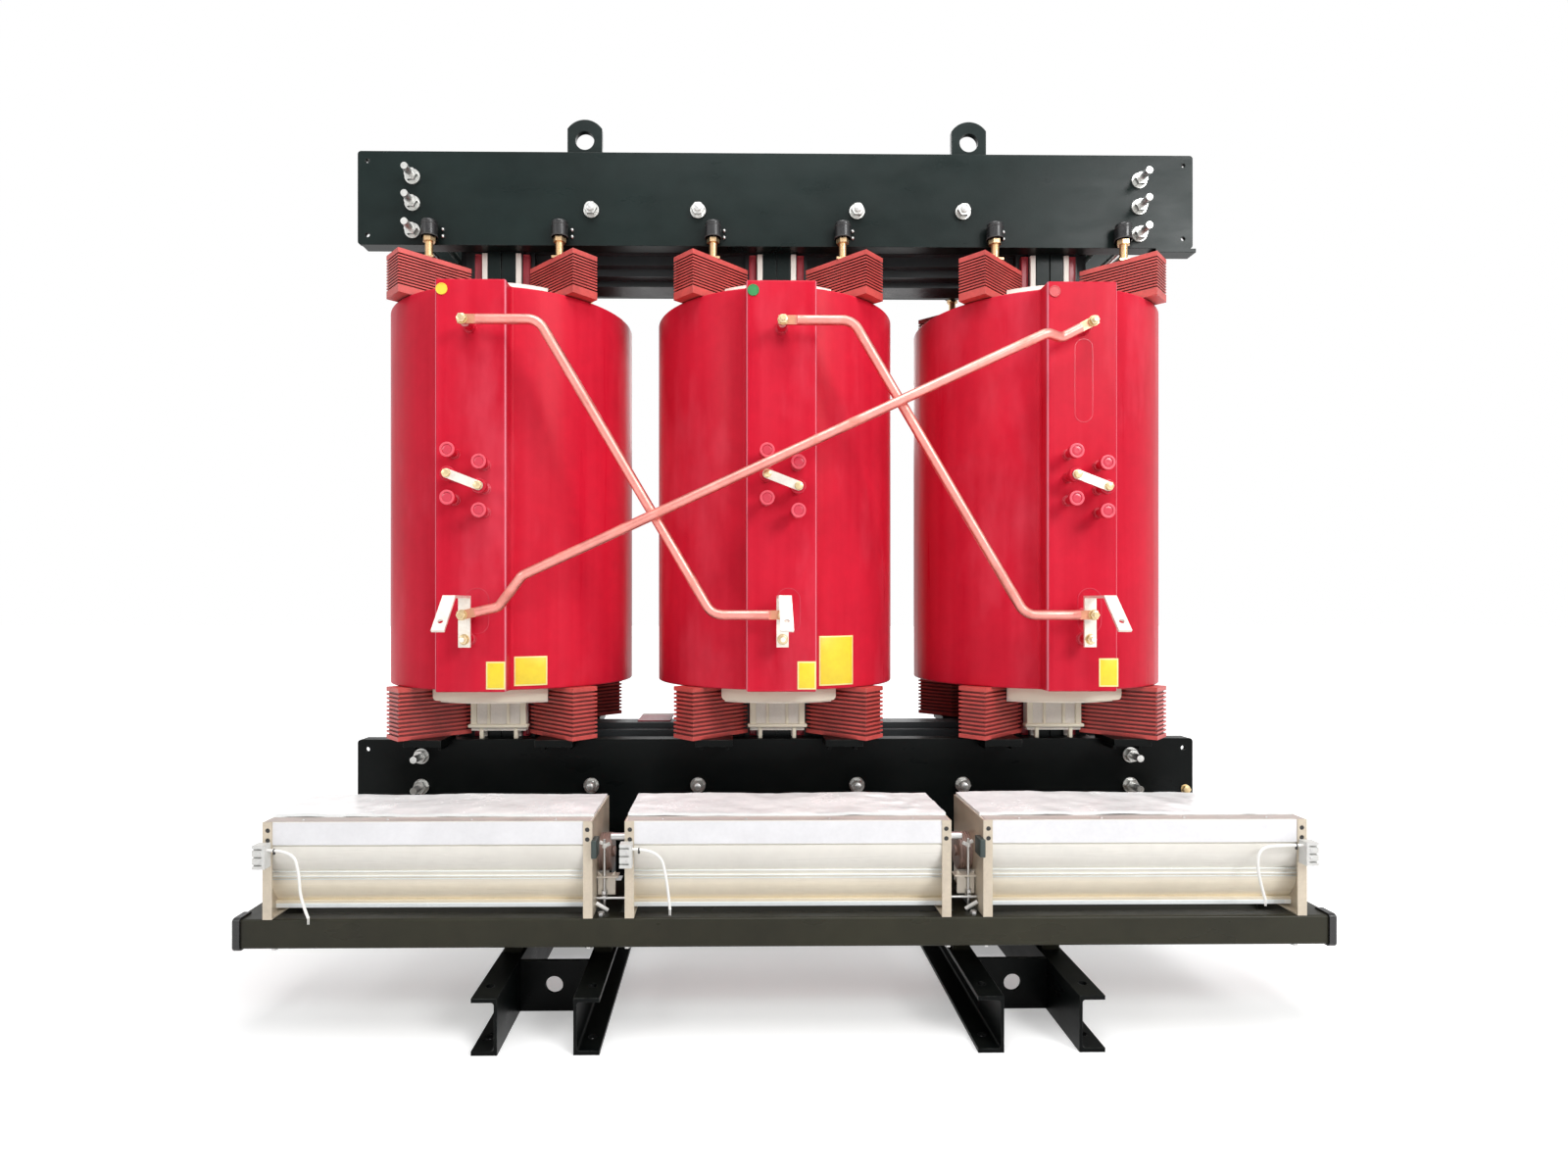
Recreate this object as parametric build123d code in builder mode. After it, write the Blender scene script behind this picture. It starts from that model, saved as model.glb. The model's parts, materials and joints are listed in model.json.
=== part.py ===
from build123d import *
from math import atan2, degrees, hypot, pi, sqrt, tan
import os

os.makedirs("parts", exist_ok=True)

# Dry-type transformer with cast coils. The origin is the centre of the footprint on the
# floor. X runs along the row of coils, the high-voltage side faces -Y, Z is up.
# All lengths are in millimetres.

# Row of limbs
limb_pitch = 750.0
limb_xs = (-limb_pitch, 0.0, limb_pitch)
phases = tuple(zip("abc", limb_xs))
tab_xs = {"a": -limb_pitch - 12.0, "b": 0.0, "c": limb_pitch - 7.0}
front, rear = -1, 1

# Foot rails: two pairs of channels, flanges facing away from the gap of the pair
rail_gauge = 1070.0
rail_length = 1310.0
rail_height = 120.0
rail_flange = 55.0
rail_web = 7.0
rail_flange_thick = 9.0
rail_root_r = 6.0
rail_gap = 160.0
rail_hole_r = 9.0
rail_hole_in = 57.0
rail_hole_out = 31.0
cross_plate_in = 187.0
cross_plate_thick = 8.0
cross_plate_lift = 2.0
cross_plate_hole_r = 20.0
cross_plate_hole_z = 63.0

# Clamps: channels with the web outward and the flanges toward the core
clamp_half = 1120.0
clamp_face_y = 190.0
clamp_web = 10.0
clamp_inner_y = 147.0
clamp_height = 250.0
clamp_corner_r = 9.0
lower_clamp_z = 337.0
upper_clamp_z = 1907.0
lower_clamp_top = lower_clamp_z + clamp_height
upper_clamp_top = upper_clamp_z + clamp_height
corner_hole_r = 6.0
corner_hole_in = 26.0

# Core: stepped packets, half width and outer half thickness of each packet
packets = ((145.0, 38.0), (130.0, 75.0), (110.0, 102.0), (85.0, 123.0), (55.0, 138.0))
lower_yoke_z = 464.0
upper_yoke_z = 2001.0
tie_plate_half = 37.0

# Coils
coil_base_z = 733.0
coil_top_z = 1745.0
coil_height = coil_top_z - coil_base_z
hv_r = 334.0
hv_bore_r = 262.0
lv_r = 240.0
lv_bore_r = 168.0
tab_face_y = 374.0
tab_width = 173.0
tab_corner_r = 6.0
tab_root_r = 9.0
coil_edge_r = 4.0

# Tap posts on the tab, two staggered columns of three
tap_x = 37.5
tap_left_z = (1317.0, 1260.0, 1203.0)
tap_right_z = (1289.0, 1231.0, 1173.0)
tap_r = 10.0
tap_root_r = 12.5
tap_root = 8.0
tap_rim_r = 17.5
tap_rim = 14.0
tap_dish_r = 11.5
tap_dish = 3.0
tap_length = 55.0
link_width = 22.0
link_thick = 5.0
link_bolt_across = 17.0
link_bolt_thick = 7.0

# Ribbed blocks above and below the coils, corner points from the limb axis
spacer_corners = ((222.0, 290.0), (275.0, 234.0), (190.0, 153.0), (79.0, 153.0))
spacer_rib_in = 5.0
spacer_ribs = 11
upper_block_plates = (20.0, 9.0)
lower_block_plates = (11.0, 6.0)
upper_spacer_top = 1858.0
lower_spacer_base = 598.0

# Collars at the ends of the inner coils and the hubs under them
collar_r = 256.0
lower_collar_low = 690.0
upper_collar_top = 1783.0
collar_lap = 8.0
hub_low = 608.0
hub_half = 73.0
hub_lap = 6.0

# Pressure bolts
press_x = 172.0
press_y = 212.0
press_cap_r = 21.0
press_cap_top = 1962.0
press_cap_base = 1918.0
press_cap_edge_r = 6.0
press_arm_half = 15.0
press_arm_drop = 9.0
press_stud_r = 10.0
press_nut_across = 29.0
press_nut_thick = 13.0
press_pad_half = 18.0
press_pad_thick = 6.0

# Tie rods and the short bolts along the middle of each clamp
tie_r = 9.0
tie_clear = 1.0
tie_out = 58.0
upper_tie_x = 974.0
upper_tie_zs = (1944.0, 2017.0, 2088.0)
lower_tie_x = 950.0
lower_tie_zs = (382.0, 462.0, 543.0)
mid_bolt_xs = (-498.0, -213.0, 213.0, 498.0)
bolt_out = 26.0
washer_r = 20.5
washer_thick = 4.0
clamp_nut_across = 30.0
clamp_nut_thick = 16.0
nut_chamfer = 1.6

# Terminals and delta rods
upper_terminal_z = 1626.0
lower_terminal_z = 923.0
second_stud_z = 864.0
stud_r = 6.0
stud_clear = 0.5
rod_r = 12.0
rod_plane_y = 432.0
crossing_plane_y = 462.0
lug_width = 22.0
lug_thick = 6.0
lug_length = 58.0
bar_start = 34.0
bend_r = 45.0
tight_bend_r = 26.0
terminal_post_r = 12.0
terminal_post_root_r = 15.0
terminal_post = 38.0
hook_width = 29.0
hook_thick = 6.0
hook_foot = 845.0
hook_top = 966.0
hook_reach_out = 108.0
hook_fall = (72.0, 76.0)
hook_hole_r = 6.5
hook_hole_from_tip = 27.0
shank_r = 11.0
terminal_nut_across = 19.0
terminal_nut_thick = 10.0
terminal_out = 20.0

# Fans: body length, front face, depth and height
fan_xs = (-771.0, 0.0, 771.0)
fan_half = 351.0
fan_face_y = 625.0
fan_depth = 235.0
shell_depth = 231.5
shell_wall = 4.0
skin_in = 3.0
seam_in = 6.0
seam_high = 434.0
seam_low = 431.0
bead_in = 24.0
bead_out = 4.0
bead_zs = (374.0, 372.0, 370.0, 364.0, 362.0, 360.0)
swell_middles = ((9.0, 400.0), (36.0, 328.0))
sill_in = 56.0
sill_z = 300.0
lip_in = 46.0
lip_drop = 6.0
hollow_in = (14.0, 34.0, 64.0)
fan_base_z = 276.0
fan_top_z = 484.0
plate_thick = 3.0
plate_lip = 20.0
back_lip = 34.0
back_lip_low = 380.0
plate_hole_r = 5.0
plate_hole_in = 11.0
plate_hole_zs = (466.0, 445.0)
back_hole_r = 3.0
back_hole_zs = (470.0, 446.0, 424.0)
motor_r = 42.0
motor_in = 115.0
motor_length = 28.0
motor_rib = 2.5
motor_ribs = 5
motor_rib_thick = 3.0
motor_boss_r = 12.0
motor_boss = 5.0
motor_z = 385.0

# Connector blocks on the end plates and the pigtails that hang from them
connector_out = 8.0
connector_in = 18.0
connector_low = 391.0
connector_high = 441.0
connector_depth = 25.0
groove_deep = 6.0
groove_half = 2.0
groove_stop = 6.0
cord_r = 2.5
cord_y = 638.0
cord_fill = 0.45

# Fan frame
frame_half = 1181.0
beam_height = 63.0
beam_depth = 40.0
beam_r = 5.0
member_half = 20.0
mid_member_x = 386.0
rear_beam_lap = 4.0
end_cap_in = 12.0
end_cap_wall = 4.0
end_cap_out = 5.0
end_cap_r = 9.0

# Low-voltage bars
lv_bar_y = 205.0
lv_bar_width = 110.0
lv_bar_thick = 12.0
lv_bar_top = 2060.0
lv_hole_pitch = 50.0
lv_hole_drop = 50.0
lv_hole_r = 7.0


def block(x_span, y_span, z_span, mode=Mode.ADD):
    """A rectangular block between three pairs of limits."""
    centre = [(span[0] + span[1]) / 2 for span in (x_span, y_span, z_span)]
    size = [abs(span[1] - span[0]) for span in (x_span, y_span, z_span)]
    with Locations(tuple(centre)):
        Box(*size, mode=mode)


def pin(x, z, radius, y_from, y_to, mode=Mode.ADD):
    """A round pin along Y."""
    with Locations((x, (y_from + y_to) / 2, z)):
        Cylinder(radius, abs(y_to - y_from), rotation=(90, 0, 0), mode=mode)


def hex_nut(x, z, across, y_from, y_to):
    """A plain hexagon nut whose axis runs along Y."""
    with BuildSketch(Plane.XZ.offset(-max(y_from, y_to))) as flat:
        with Locations((x, z)):
            RegularPolygon(across / 2, 6, major_radius=False)
    extrude(flat.sketch, amount=abs(y_to - y_from))


def turned_nut(across, thick):
    """A hexagon nut with turned corners that stands out from the origin along -Y."""
    with BuildPart() as nut:
        with Locations((0, -thick / 2, 0)):
            Cylinder(across / sqrt(3), thick, rotation=(90, 0, 0))
        chamfer(nut.edges().filter_by(GeomType.CIRCLE), nut_chamfer)
        with BuildSketch(Plane.XZ) as flats:
            RegularPolygon(across / 2, 6, major_radius=False)
        extrude(flats.sketch, amount=thick, mode=Mode.INTERSECT)
    return nut.part


def strip_outline(points, half):
    """Both edges of a bent strip that follows the points."""
    left, right = [], []
    for i, (a, b) in enumerate(points):
        before = points[max(i - 1, 0)]
        after = points[min(i + 1, len(points) - 1)]
        steps = []
        for p, q in ((before, (a, b)), ((a, b), after)):
            length = hypot(q[0] - p[0], q[1] - p[1])
            if length > 0:
                steps.append(((q[0] - p[0]) / length, (q[1] - p[1]) / length))
        nx = sum(-s[1] for s in steps)
        ny = sum(s[0] for s in steps)
        scale = half * len(steps) / (nx * nx + ny * ny)
        left.append((a + nx * scale, b + ny * scale))
        right.append((a - nx * scale, b - ny * scale))
    return left + right[::-1]


def both_ways(points):
    """Places for a front piece and for the same piece turned to the rear."""
    fronts = [Location((x, 0, z)) for x, z in points]
    rears = [Location((x, 0, z), (0, 0, 180)) for x, z in points]
    return fronts + rears


def save(part, name):
    """Label a finished piece and write it."""
    part.label = name
    export_step(part, "parts/" + name + ".step")


# Foot rails
def rail_section(inner_x, out):
    """Corners of a channel section from its web face, flanges pointing out."""
    web_x = inner_x + out * rail_web
    tip_x = inner_x + out * rail_flange
    low, high = rail_flange_thick, rail_height - rail_flange_thick
    points = [(inner_x, 0), (tip_x, 0), (tip_x, low), (web_x, low)]
    points += [(web_x, high), (tip_x, high), (tip_x, rail_height), (inner_x, rail_height)]
    return points


for side, centre_x in (("left", -rail_gauge / 2), ("right", rail_gauge / 2)):
    with BuildPart() as foot_rails:
        for out in (-1, 1):
            inner_x = centre_x + out * rail_gap / 2
            with BuildSketch(Plane.XZ):
                with BuildLine():
                    Polyline(*rail_section(inner_x, out), close=True)
                make_face()
            extrude(amount=rail_length / 2, both=True)
        roots = foot_rails.edges().filter_by(Axis.Y).filter_by(
            lambda e: rail_flange_thick - 1 < e.center().Z < rail_height - rail_flange_thick + 1
            and abs(abs(e.center().X - centre_x) - rail_gap / 2 - rail_web) < 0.1
        )
        fillet(roots, rail_root_r)
        for out in (-1, 1):
            hole_x = centre_x + out * (rail_gap / 2 + rail_hole_out)
            for way in (front, rear):
                with Locations((hole_x, way * (rail_length / 2 - rail_hole_in), rail_height / 2)):
                    Cylinder(rail_hole_r, rail_height + 2, mode=Mode.SUBTRACT)
    save(foot_rails.part, "foot_rails_" + side)

with BuildPart() as rail_cross_plates:
    for centre_x in (-rail_gauge / 2, rail_gauge / 2):
        x_span = (centre_x - rail_gap / 2, centre_x + rail_gap / 2)
        for way in (front, rear):
            y = way * (rail_length / 2 - cross_plate_in)
            y_span = (y - cross_plate_thick / 2, y + cross_plate_thick / 2)
            block(x_span, y_span, (cross_plate_lift, rail_height))
            hole_span = (y - cross_plate_thick, y + cross_plate_thick)
            pin(centre_x, cross_plate_hole_z, cross_plate_hole_r, *hole_span, Mode.SUBTRACT)
save(rail_cross_plates.part, "rail_cross_plates")

# Saddles carry the lower clamps on the foot rails: two plates joined by ribs and a back wall
saddle_inner_y = clamp_inner_y + 3
saddle_outer_y = clamp_face_y + 35
saddle_plate = 12.0
saddle_rib_half = 6.0
saddle_rib_x = 90.0
saddle_wall = 8.0
with BuildPart() as clamp_saddles:
    for centre_x in (-rail_gauge / 2, rail_gauge / 2):
        for way in (front, rear):
            y_span = (way * saddle_inner_y, way * saddle_outer_y)
            wide = rail_gap / 2 + rail_flange
            x_span = (centre_x - wide, centre_x + wide)
            base_top = rail_height + saddle_plate
            cap_base = lower_clamp_z - saddle_plate
            block(x_span, y_span, (rail_height, base_top))
            block(x_span, y_span, (cap_base, lower_clamp_z))
            for x in (centre_x - saddle_rib_x, centre_x, centre_x + saddle_rib_x):
                block((x - saddle_rib_half, x + saddle_rib_half), y_span, (base_top, cap_base))
            wall_span = (way * saddle_inner_y, way * (saddle_inner_y + saddle_wall))
            x_span = (centre_x - saddle_rib_x, centre_x + saddle_rib_x)
            block(x_span, wall_span, (base_top, cap_base))
save(clamp_saddles.part, "clamp_saddles")

# Clamp channels
foot_strip_length = 100.0
foot_strip_out = 9.0
foot_strip_thick = 10.0


def clamp(way, base_z, tie_x, tie_zs):
    """One clamp channel with its corner holes and tie-rod holes."""
    y_out = way * clamp_face_y
    y_web = way * (clamp_face_y - clamp_web)
    y_in = way * clamp_inner_y
    with BuildSketch(Plane.XZ.offset(-max(y_out, y_web))) as web:
        with Locations((0, base_z + clamp_height / 2)):
            RectangleRounded(2 * clamp_half, clamp_height, clamp_corner_r)
    extrude(web.sketch, amount=clamp_web)
    for z in (base_z, base_z + clamp_height - clamp_web):
        span = (-clamp_half + clamp_corner_r, clamp_half - clamp_corner_r)
        block(span, (y_in, y_web), (z, z + clamp_web))
    for x in (-clamp_half + corner_hole_in, clamp_half - corner_hole_in):
        for z in (base_z + corner_hole_in, base_z + clamp_height - corner_hole_in):
            pin(x, z, corner_hole_r, y_in, y_out + way, Mode.SUBTRACT)
    for x in (-tie_x, tie_x):
        for z in tie_zs:
            pin(x, z, tie_r + tie_clear, y_in, y_out + way, Mode.SUBTRACT)


for way, side in ((front, "front"), (rear, "rear")):
    with BuildPart() as lower_clamp:
        clamp(way, lower_clamp_z, lower_tie_x, lower_tie_zs)
    save(lower_clamp.part, "lower_clamp_" + side)

    with BuildPart() as upper_clamp:
        clamp(way, upper_clamp_z, upper_tie_x, upper_tie_zs)
        y_span = (way * clamp_inner_y, way * clamp_face_y)
        x_span = (clamp_half - foot_strip_length, clamp_half + foot_strip_out)
        block(x_span, y_span, (upper_clamp_z - foot_strip_thick, upper_clamp_z))
    save(upper_clamp.part, "upper_clamp_" + side)

# Lifting lugs, round-topped plates with a shackle hole
lug_x = 517.5
lug_plate_half = 46.5
lug_plate_thick = 16.0
lug_hole_r = 25.0
lug_hole_z = upper_clamp_top + 37.0
lug_top_r = 56.0
lug_shoulder_z = lug_hole_z + sqrt(lug_top_r**2 - lug_plate_half**2)
with BuildPart() as lifting_lugs:
    for way in (front, rear):
        lug_face_y = clamp_face_y - clamp_web
        y_faces = (way * lug_face_y, way * (lug_face_y - lug_plate_thick))
        for x in (-lug_x, lug_x):
            left, right = x - lug_plate_half, x + lug_plate_half
            with BuildSketch(Plane.XZ.offset(-max(y_faces))):
                with BuildLine():
                    shoulders = ((left, lug_shoulder_z), (right, lug_shoulder_z))
                    Polyline(shoulders[0], (left, upper_clamp_top), (right, upper_clamp_top))
                    Line((right, upper_clamp_top), shoulders[1])
                    ThreePointArc(shoulders[1], (x, lug_hole_z + lug_top_r), shoulders[0])
                make_face()
                with Locations((x, lug_hole_z)):
                    Circle(lug_hole_r, mode=Mode.SUBTRACT)
            extrude(amount=lug_plate_thick)
save(lifting_lugs.part, "lifting_lugs")


# Core: each packet is a band of sheet of one width, so limbs and yokes meet step by step
def packet_bands():
    """Half width and Y limits of every band, the middle band first."""
    bands = [(packets[0][0], -packets[0][1], packets[0][1])]
    for (_, inner), (half, outer) in zip(packets, packets[1:]):
        bands.append((half, inner, outer))
        bands.append((half, -outer, -inner))
    return bands


def yoke(centre_z):
    """A stepped yoke bar."""
    for half, y_low, y_high in packet_bands():
        x_end = limb_pitch + half
        block((-x_end, x_end), (y_low, y_high), (centre_z - half, centre_z + half))


with BuildPart() as core_lower_yoke:
    yoke(lower_yoke_z)
save(core_lower_yoke.part, "core_lower_yoke")

with BuildPart() as core_upper_yoke:
    yoke(upper_yoke_z)
save(core_upper_yoke.part, "core_upper_yoke")

with BuildPart() as one_limb:
    for half, y_low, y_high in packet_bands():
        z_span = (lower_yoke_z + half, upper_yoke_z - half)
        block((-half, half), (y_low, y_high), z_span)
with BuildPart() as core_limbs:
    with Locations(*[(x, 0, 0) for x in limb_xs]):
        add(one_limb.part)
save(core_limbs.part, "core_limbs")

# Tie plates on both faces of every limb join the clamps
tie_plate_in = 20.0
tie_plate_low = lower_clamp_z + tie_plate_in
tie_plate_high = upper_clamp_top - tie_plate_in
tie_plate_seam = 1.5
plate_thick_y = clamp_inner_y - packets[-1][1]
plate_places = [
    (x + edge * (tie_plate_half + tie_plate_seam) / 2, way * (clamp_inner_y - plate_thick_y / 2))
    for x in limb_xs
    for edge in (-1, 1)
    for way in (front, rear)
]
with BuildPart() as tie_plates:
    with BuildSketch(Plane.XY.offset(tie_plate_low)):
        with Locations(*plate_places):
            Rectangle(tie_plate_half - tie_plate_seam, plate_thick_y)
    extrude(amount=tie_plate_high - tie_plate_low)
save(tie_plates.part, "tie_plates")

# Inner coils
with BuildPart() as lv_coils:
    for x in limb_xs:
        with BuildSketch(Plane.XY.offset(coil_base_z)):
            with Locations((x, 0)):
                Circle(lv_r)
                Circle(lv_bore_r, mode=Mode.SUBTRACT)
        extrude(amount=coil_height)
save(lv_coils.part, "lv_coils")

# Cream collars at the ends of the inner coils, arcs that reach from block to block, and the
# hubs under the lower ones
collar_clear = 1.0
block_inner, block_foot = spacer_corners[0], spacer_corners[3]


def collar_arc(low, high, inner_r, outer_r):
    """The front arc of a ring round the limb, cut off by the blocks at its sides."""
    side = (block_inner[0] - collar_clear, -block_inner[1])
    foot = (block_foot[0] - collar_clear, -block_foot[1])
    with BuildSketch(Plane.XY.offset(low)) as arc:
        Circle(outer_r)
        Circle(inner_r, mode=Mode.SUBTRACT)
        with BuildLine():
            Polyline(foot, side, (-side[0], side[1]), (-foot[0], foot[1]), close=True)
        make_face(mode=Mode.INTERSECT)
    extrude(arc.sketch, amount=high - low)


with BuildPart() as one_collar:
    collar_arc(lower_collar_low, coil_base_z, lv_bore_r, collar_r)
    collar_arc(coil_top_z, upper_collar_top, lv_r - collar_lap, collar_r)
    block((-hub_half, hub_half), (-clamp_inner_y, -lv_bore_r - hub_lap), (hub_low, lower_collar_low))
with BuildPart() as lv_end_trays:
    with Locations(*both_ways([(x, 0) for x in limb_xs])):
        add(one_collar.part)
save(lv_end_trays.part, "lv_end_trays")

# Outer coils: a round casting with a flat full-height tab, six tap posts and three terminals
terminal_face_y = tab_face_y + terminal_post
tab_root_y = -sqrt(hv_r**2 - (tab_width / 2) ** 2)
tab_root_band = 6.0


def is_tab_root(vertex):
    """True where the side of the tab meets the round of the coil."""
    return abs(vertex.Y - tab_root_y) < tab_root_band


def cast_post(x, z, radius, root_r, tip_y):
    """A round post cast on the tab, thicker at its root."""
    pin(x, z, radius, -tab_face_y + 2, tip_y)
    pin(x, z, root_r, -tab_face_y + 2, -tab_face_y - tap_root)


for phase, x in phases:
    tab_x = tab_xs[phase]
    with BuildPart() as hv_coil:
        with BuildSketch(Plane.XY.offset(coil_base_z)) as coil_outline:
            with Locations((x, 0)):
                Circle(hv_r)
            with Locations((tab_x, -tab_face_y / 2)):
                Rectangle(tab_width, tab_face_y)
            tab_corners = coil_outline.vertices().sort_by(Axis.Y)
            fillet(tab_corners[:2], tab_corner_r)
            tab_roots = coil_outline.vertices().filter_by(is_tab_root)
            fillet(tab_roots, tab_root_r)
            with Locations((x, 0)):
                Circle(hv_bore_r, mode=Mode.SUBTRACT)
        extrude(amount=coil_height)
        rims = hv_coil.faces().filter_by(Axis.Z).edges()
        bore_rims = rims.filter_by(GeomType.CIRCLE).filter_by(lambda e: e.radius < hv_bore_r + 1)
        fillet(rims - bore_rims, coil_edge_r)
        posts = [(tab_x - tap_x, z) for z in tap_left_z]
        posts += [(tab_x + tap_x, z) for z in tap_right_z]
        tip_y = -tab_face_y - tap_length
        for post_x, post_z in posts:
            cast_post(post_x, post_z, tap_r, tap_root_r, tip_y)
            pin(post_x, post_z, tap_rim_r, tip_y + tap_rim, tip_y)
            pin(post_x, post_z, tap_dish_r, tip_y + tap_dish, tip_y - 1, Mode.SUBTRACT)
        for z in (upper_terminal_z, lower_terminal_z, second_stud_z):
            cast_post(tab_x, z, terminal_post_r, terminal_post_root_r, -terminal_face_y)
    save(hv_coil.part, "hv_coil_" + phase)


# Ribbed blocks: a solid heart with thin full-size ribs between two end plates
def ribbed_block(low, high, plates):
    """One ribbed block at the front right of a limb at the origin."""
    low_plate, high_plate = plates
    corners = [(a, -b) for a, b in spacer_corners]
    pitch = (high - high_plate - low - low_plate) / spacer_ribs
    rib_zs = [low + low_plate + pitch * (i + 0.5) for i in range(spacer_ribs)]
    with BuildSketch() as outline:
        with BuildLine():
            Polyline(*corners, close=True)
        make_face()
    with BuildSketch(Plane.XY.offset(low)) as heart:
        with BuildLine():
            Polyline(*corners, close=True)
        make_face()
        offset(amount=-spacer_rib_in, kind=Kind.INTERSECTION, mode=Mode.REPLACE)
    rib = extrude(outline.sketch, amount=pitch / 2, mode=Mode.PRIVATE)
    low_slab = extrude(outline.sketch, amount=low_plate, mode=Mode.PRIVATE)
    high_slab = extrude(outline.sketch, amount=high_plate, mode=Mode.PRIVATE)
    extrude(heart.sketch, amount=high - low)
    slabs = [rib.moved(Location((0, 0, z))) for z in rib_zs]
    slabs.append(low_slab.moved(Location((0, 0, low))))
    slabs.append(high_slab.moved(Location((0, 0, high - high_plate))))
    add(slabs)


with BuildPart() as one_upper_block:
    ribbed_block(coil_top_z, upper_spacer_top, upper_block_plates)
with BuildPart() as one_lower_block:
    ribbed_block(lower_spacer_base, coil_base_z, lower_block_plates)


def four_blocks(one, x):
    """The block at all four corners of a limb."""
    mirrored = mirror(one, about=Plane.YZ, mode=Mode.PRIVATE)
    turns = (Location((x, 0, 0)), Location((x, 0, 0), (0, 0, 180)))
    with Locations(*turns):
        add(one)
        add(mirrored)


for phase, x in phases:
    with BuildPart() as upper_spacers:
        four_blocks(one_upper_block.part, x)
    save(upper_spacers.part, "upper_spacers_" + phase)

    with BuildPart() as lower_spacers:
        four_blocks(one_lower_block.part, x)
    save(lower_spacers.part, "lower_spacers_" + phase)

# Brackets on the lower clamps that carry the lower blocks
pad_x = 168.5
pad_half = 48.5
pad_inner_y = clamp_inner_y + 8
pad_reach = 272.0
pad_thick = 18.0
gusset_x = 34.0
gusset_half = 4.0
gusset_reach = 240.0
gusset_drop = 20.0
with BuildPart() as one_bracket:
    x_span = (-pad_half, pad_half)
    block(x_span, (-pad_inner_y, -pad_reach), (lower_clamp_top, lower_spacer_base))
    block(x_span, (-clamp_face_y, -pad_reach), (lower_spacer_base - pad_thick, lower_spacer_base))
    for x in (-gusset_x, gusset_x):
        y_span = (-clamp_face_y, -gusset_reach)
        z_span = (lower_clamp_top - gusset_drop, lower_spacer_base - pad_thick)
        block((x - gusset_half, x + gusset_half), y_span, z_span)
with BuildPart() as spacer_brackets:
    pads = [(x + x_way * pad_x, 0) for x in limb_xs for x_way in (-1, 1)]
    with Locations(*both_ways(pads)):
        add(one_bracket.part)
save(spacer_brackets.part, "spacer_brackets")

# Pressure bolts: a domed cap on the clamp web, a threaded stud and a square washer
press_points = [(x + x_way * press_x, 0) for x in limb_xs for x_way in (-1, 1)]
with BuildPart() as one_cap:
    with Locations((0, -press_y, (press_cap_top + press_cap_base) / 2)):
        Cylinder(press_cap_r, press_cap_top - press_cap_base)
    fillet(one_cap.faces().sort_by(Axis.Z)[-1].edges(), press_cap_edge_r)
    arm_top = press_cap_top - press_arm_drop
    block((-press_arm_half, press_arm_half), (-clamp_face_y, -press_y), (press_cap_base, arm_top))
with BuildPart() as pressure_caps:
    with Locations(*both_ways(press_points)):
        add(one_cap.part)
save(pressure_caps.part, "pressure_caps")

with BuildPart() as one_stud:
    with Locations((0, -press_y, (press_cap_base + upper_spacer_top) / 2)):
        Cylinder(press_stud_r, press_cap_base - upper_spacer_top)
    with Locations((0, -press_y, upper_spacer_top + press_pad_thick / 2)):
        Box(2 * press_pad_half, 2 * press_pad_half, press_pad_thick)
    with BuildSketch(Plane.XY.offset(press_cap_base - press_nut_thick)):
        with Locations((0, -press_y)):
            RegularPolygon(press_nut_across / 2, 6, major_radius=False)
    extrude(amount=press_nut_thick)
with BuildPart() as pressure_studs:
    with Locations(*both_ways(press_points)):
        add(one_stud.part)
save(pressure_studs.part, "pressure_studs")

# Tie rods through both clamps beyond the ends of the core, with washers and nuts
tie_end_y = clamp_face_y + tie_out
nut_seats = (
    Location((0, -clamp_face_y - washer_thick, 0)),
    Location((0, clamp_face_y + washer_thick, 0), (0, 0, 180)),
)
clamp_nut = turned_nut(clamp_nut_across, clamp_nut_thick)
with BuildPart() as one_tie_rod:
    pin(0, 0, tie_r, -tie_end_y, tie_end_y)
    for way in (front, rear):
        pin(0, 0, washer_r, way * clamp_face_y, way * (clamp_face_y + washer_thick))
    with Locations(*nut_seats):
        add(clamp_nut)
tie_points = [(x, 0, z) for x in (-upper_tie_x, upper_tie_x) for z in upper_tie_zs]
tie_points += [(x, 0, z) for x in (-lower_tie_x, lower_tie_x) for z in lower_tie_zs]
with BuildPart() as tie_rods:
    with Locations(*tie_points):
        add(one_tie_rod.part)
save(tie_rods.part, "tie_rods")

# Short bolts along the middle of each clamp
with BuildPart() as one_bolt:
    pin(0, 0, washer_r, -clamp_face_y, -clamp_face_y - washer_thick)
    pin(0, 0, tie_r, -clamp_face_y - washer_thick, -clamp_face_y - bolt_out)
    with Locations(nut_seats[0]):
        add(clamp_nut)
with BuildPart() as yoke_bolts:
    bolt_points = [(x, z) for z in (lower_yoke_z, upper_yoke_z) for x in mid_bolt_xs]
    with Locations(*both_ways(bolt_points)):
        add(one_bolt.part)
save(yoke_bolts.part, "yoke_bolts")

# Terminal studs on the cast posts: a shank that the lug seats on and a front nut
hook_face_y = terminal_face_y + hook_thick
lug_back_y = rod_plane_y - lug_thick / 2
lug_front_y = rod_plane_y + lug_thick / 2
with BuildPart() as one_stud_set:
    for z, shank_from in ((upper_terminal_z, terminal_face_y), (lower_terminal_z, hook_face_y)):
        pin(0, z, stud_r, -terminal_face_y, -rod_plane_y - terminal_out)
        pin(0, z, shank_r, -shank_from, -lug_back_y)
        hex_nut(0, z, terminal_nut_across, -lug_front_y, -lug_front_y - terminal_nut_thick)
    pin(0, second_stud_z, stud_r, -terminal_face_y, -hook_face_y - terminal_out)
    nut_face = -hook_face_y - terminal_nut_thick
    hex_nut(0, second_stud_z, terminal_nut_across, -hook_face_y, nut_face)
with BuildPart() as terminal_studs:
    with Locations(*[(x, 0, 0) for x in tab_xs.values()]):
        add(one_stud_set.part)
save(terminal_studs.part, "terminal_studs")

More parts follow.
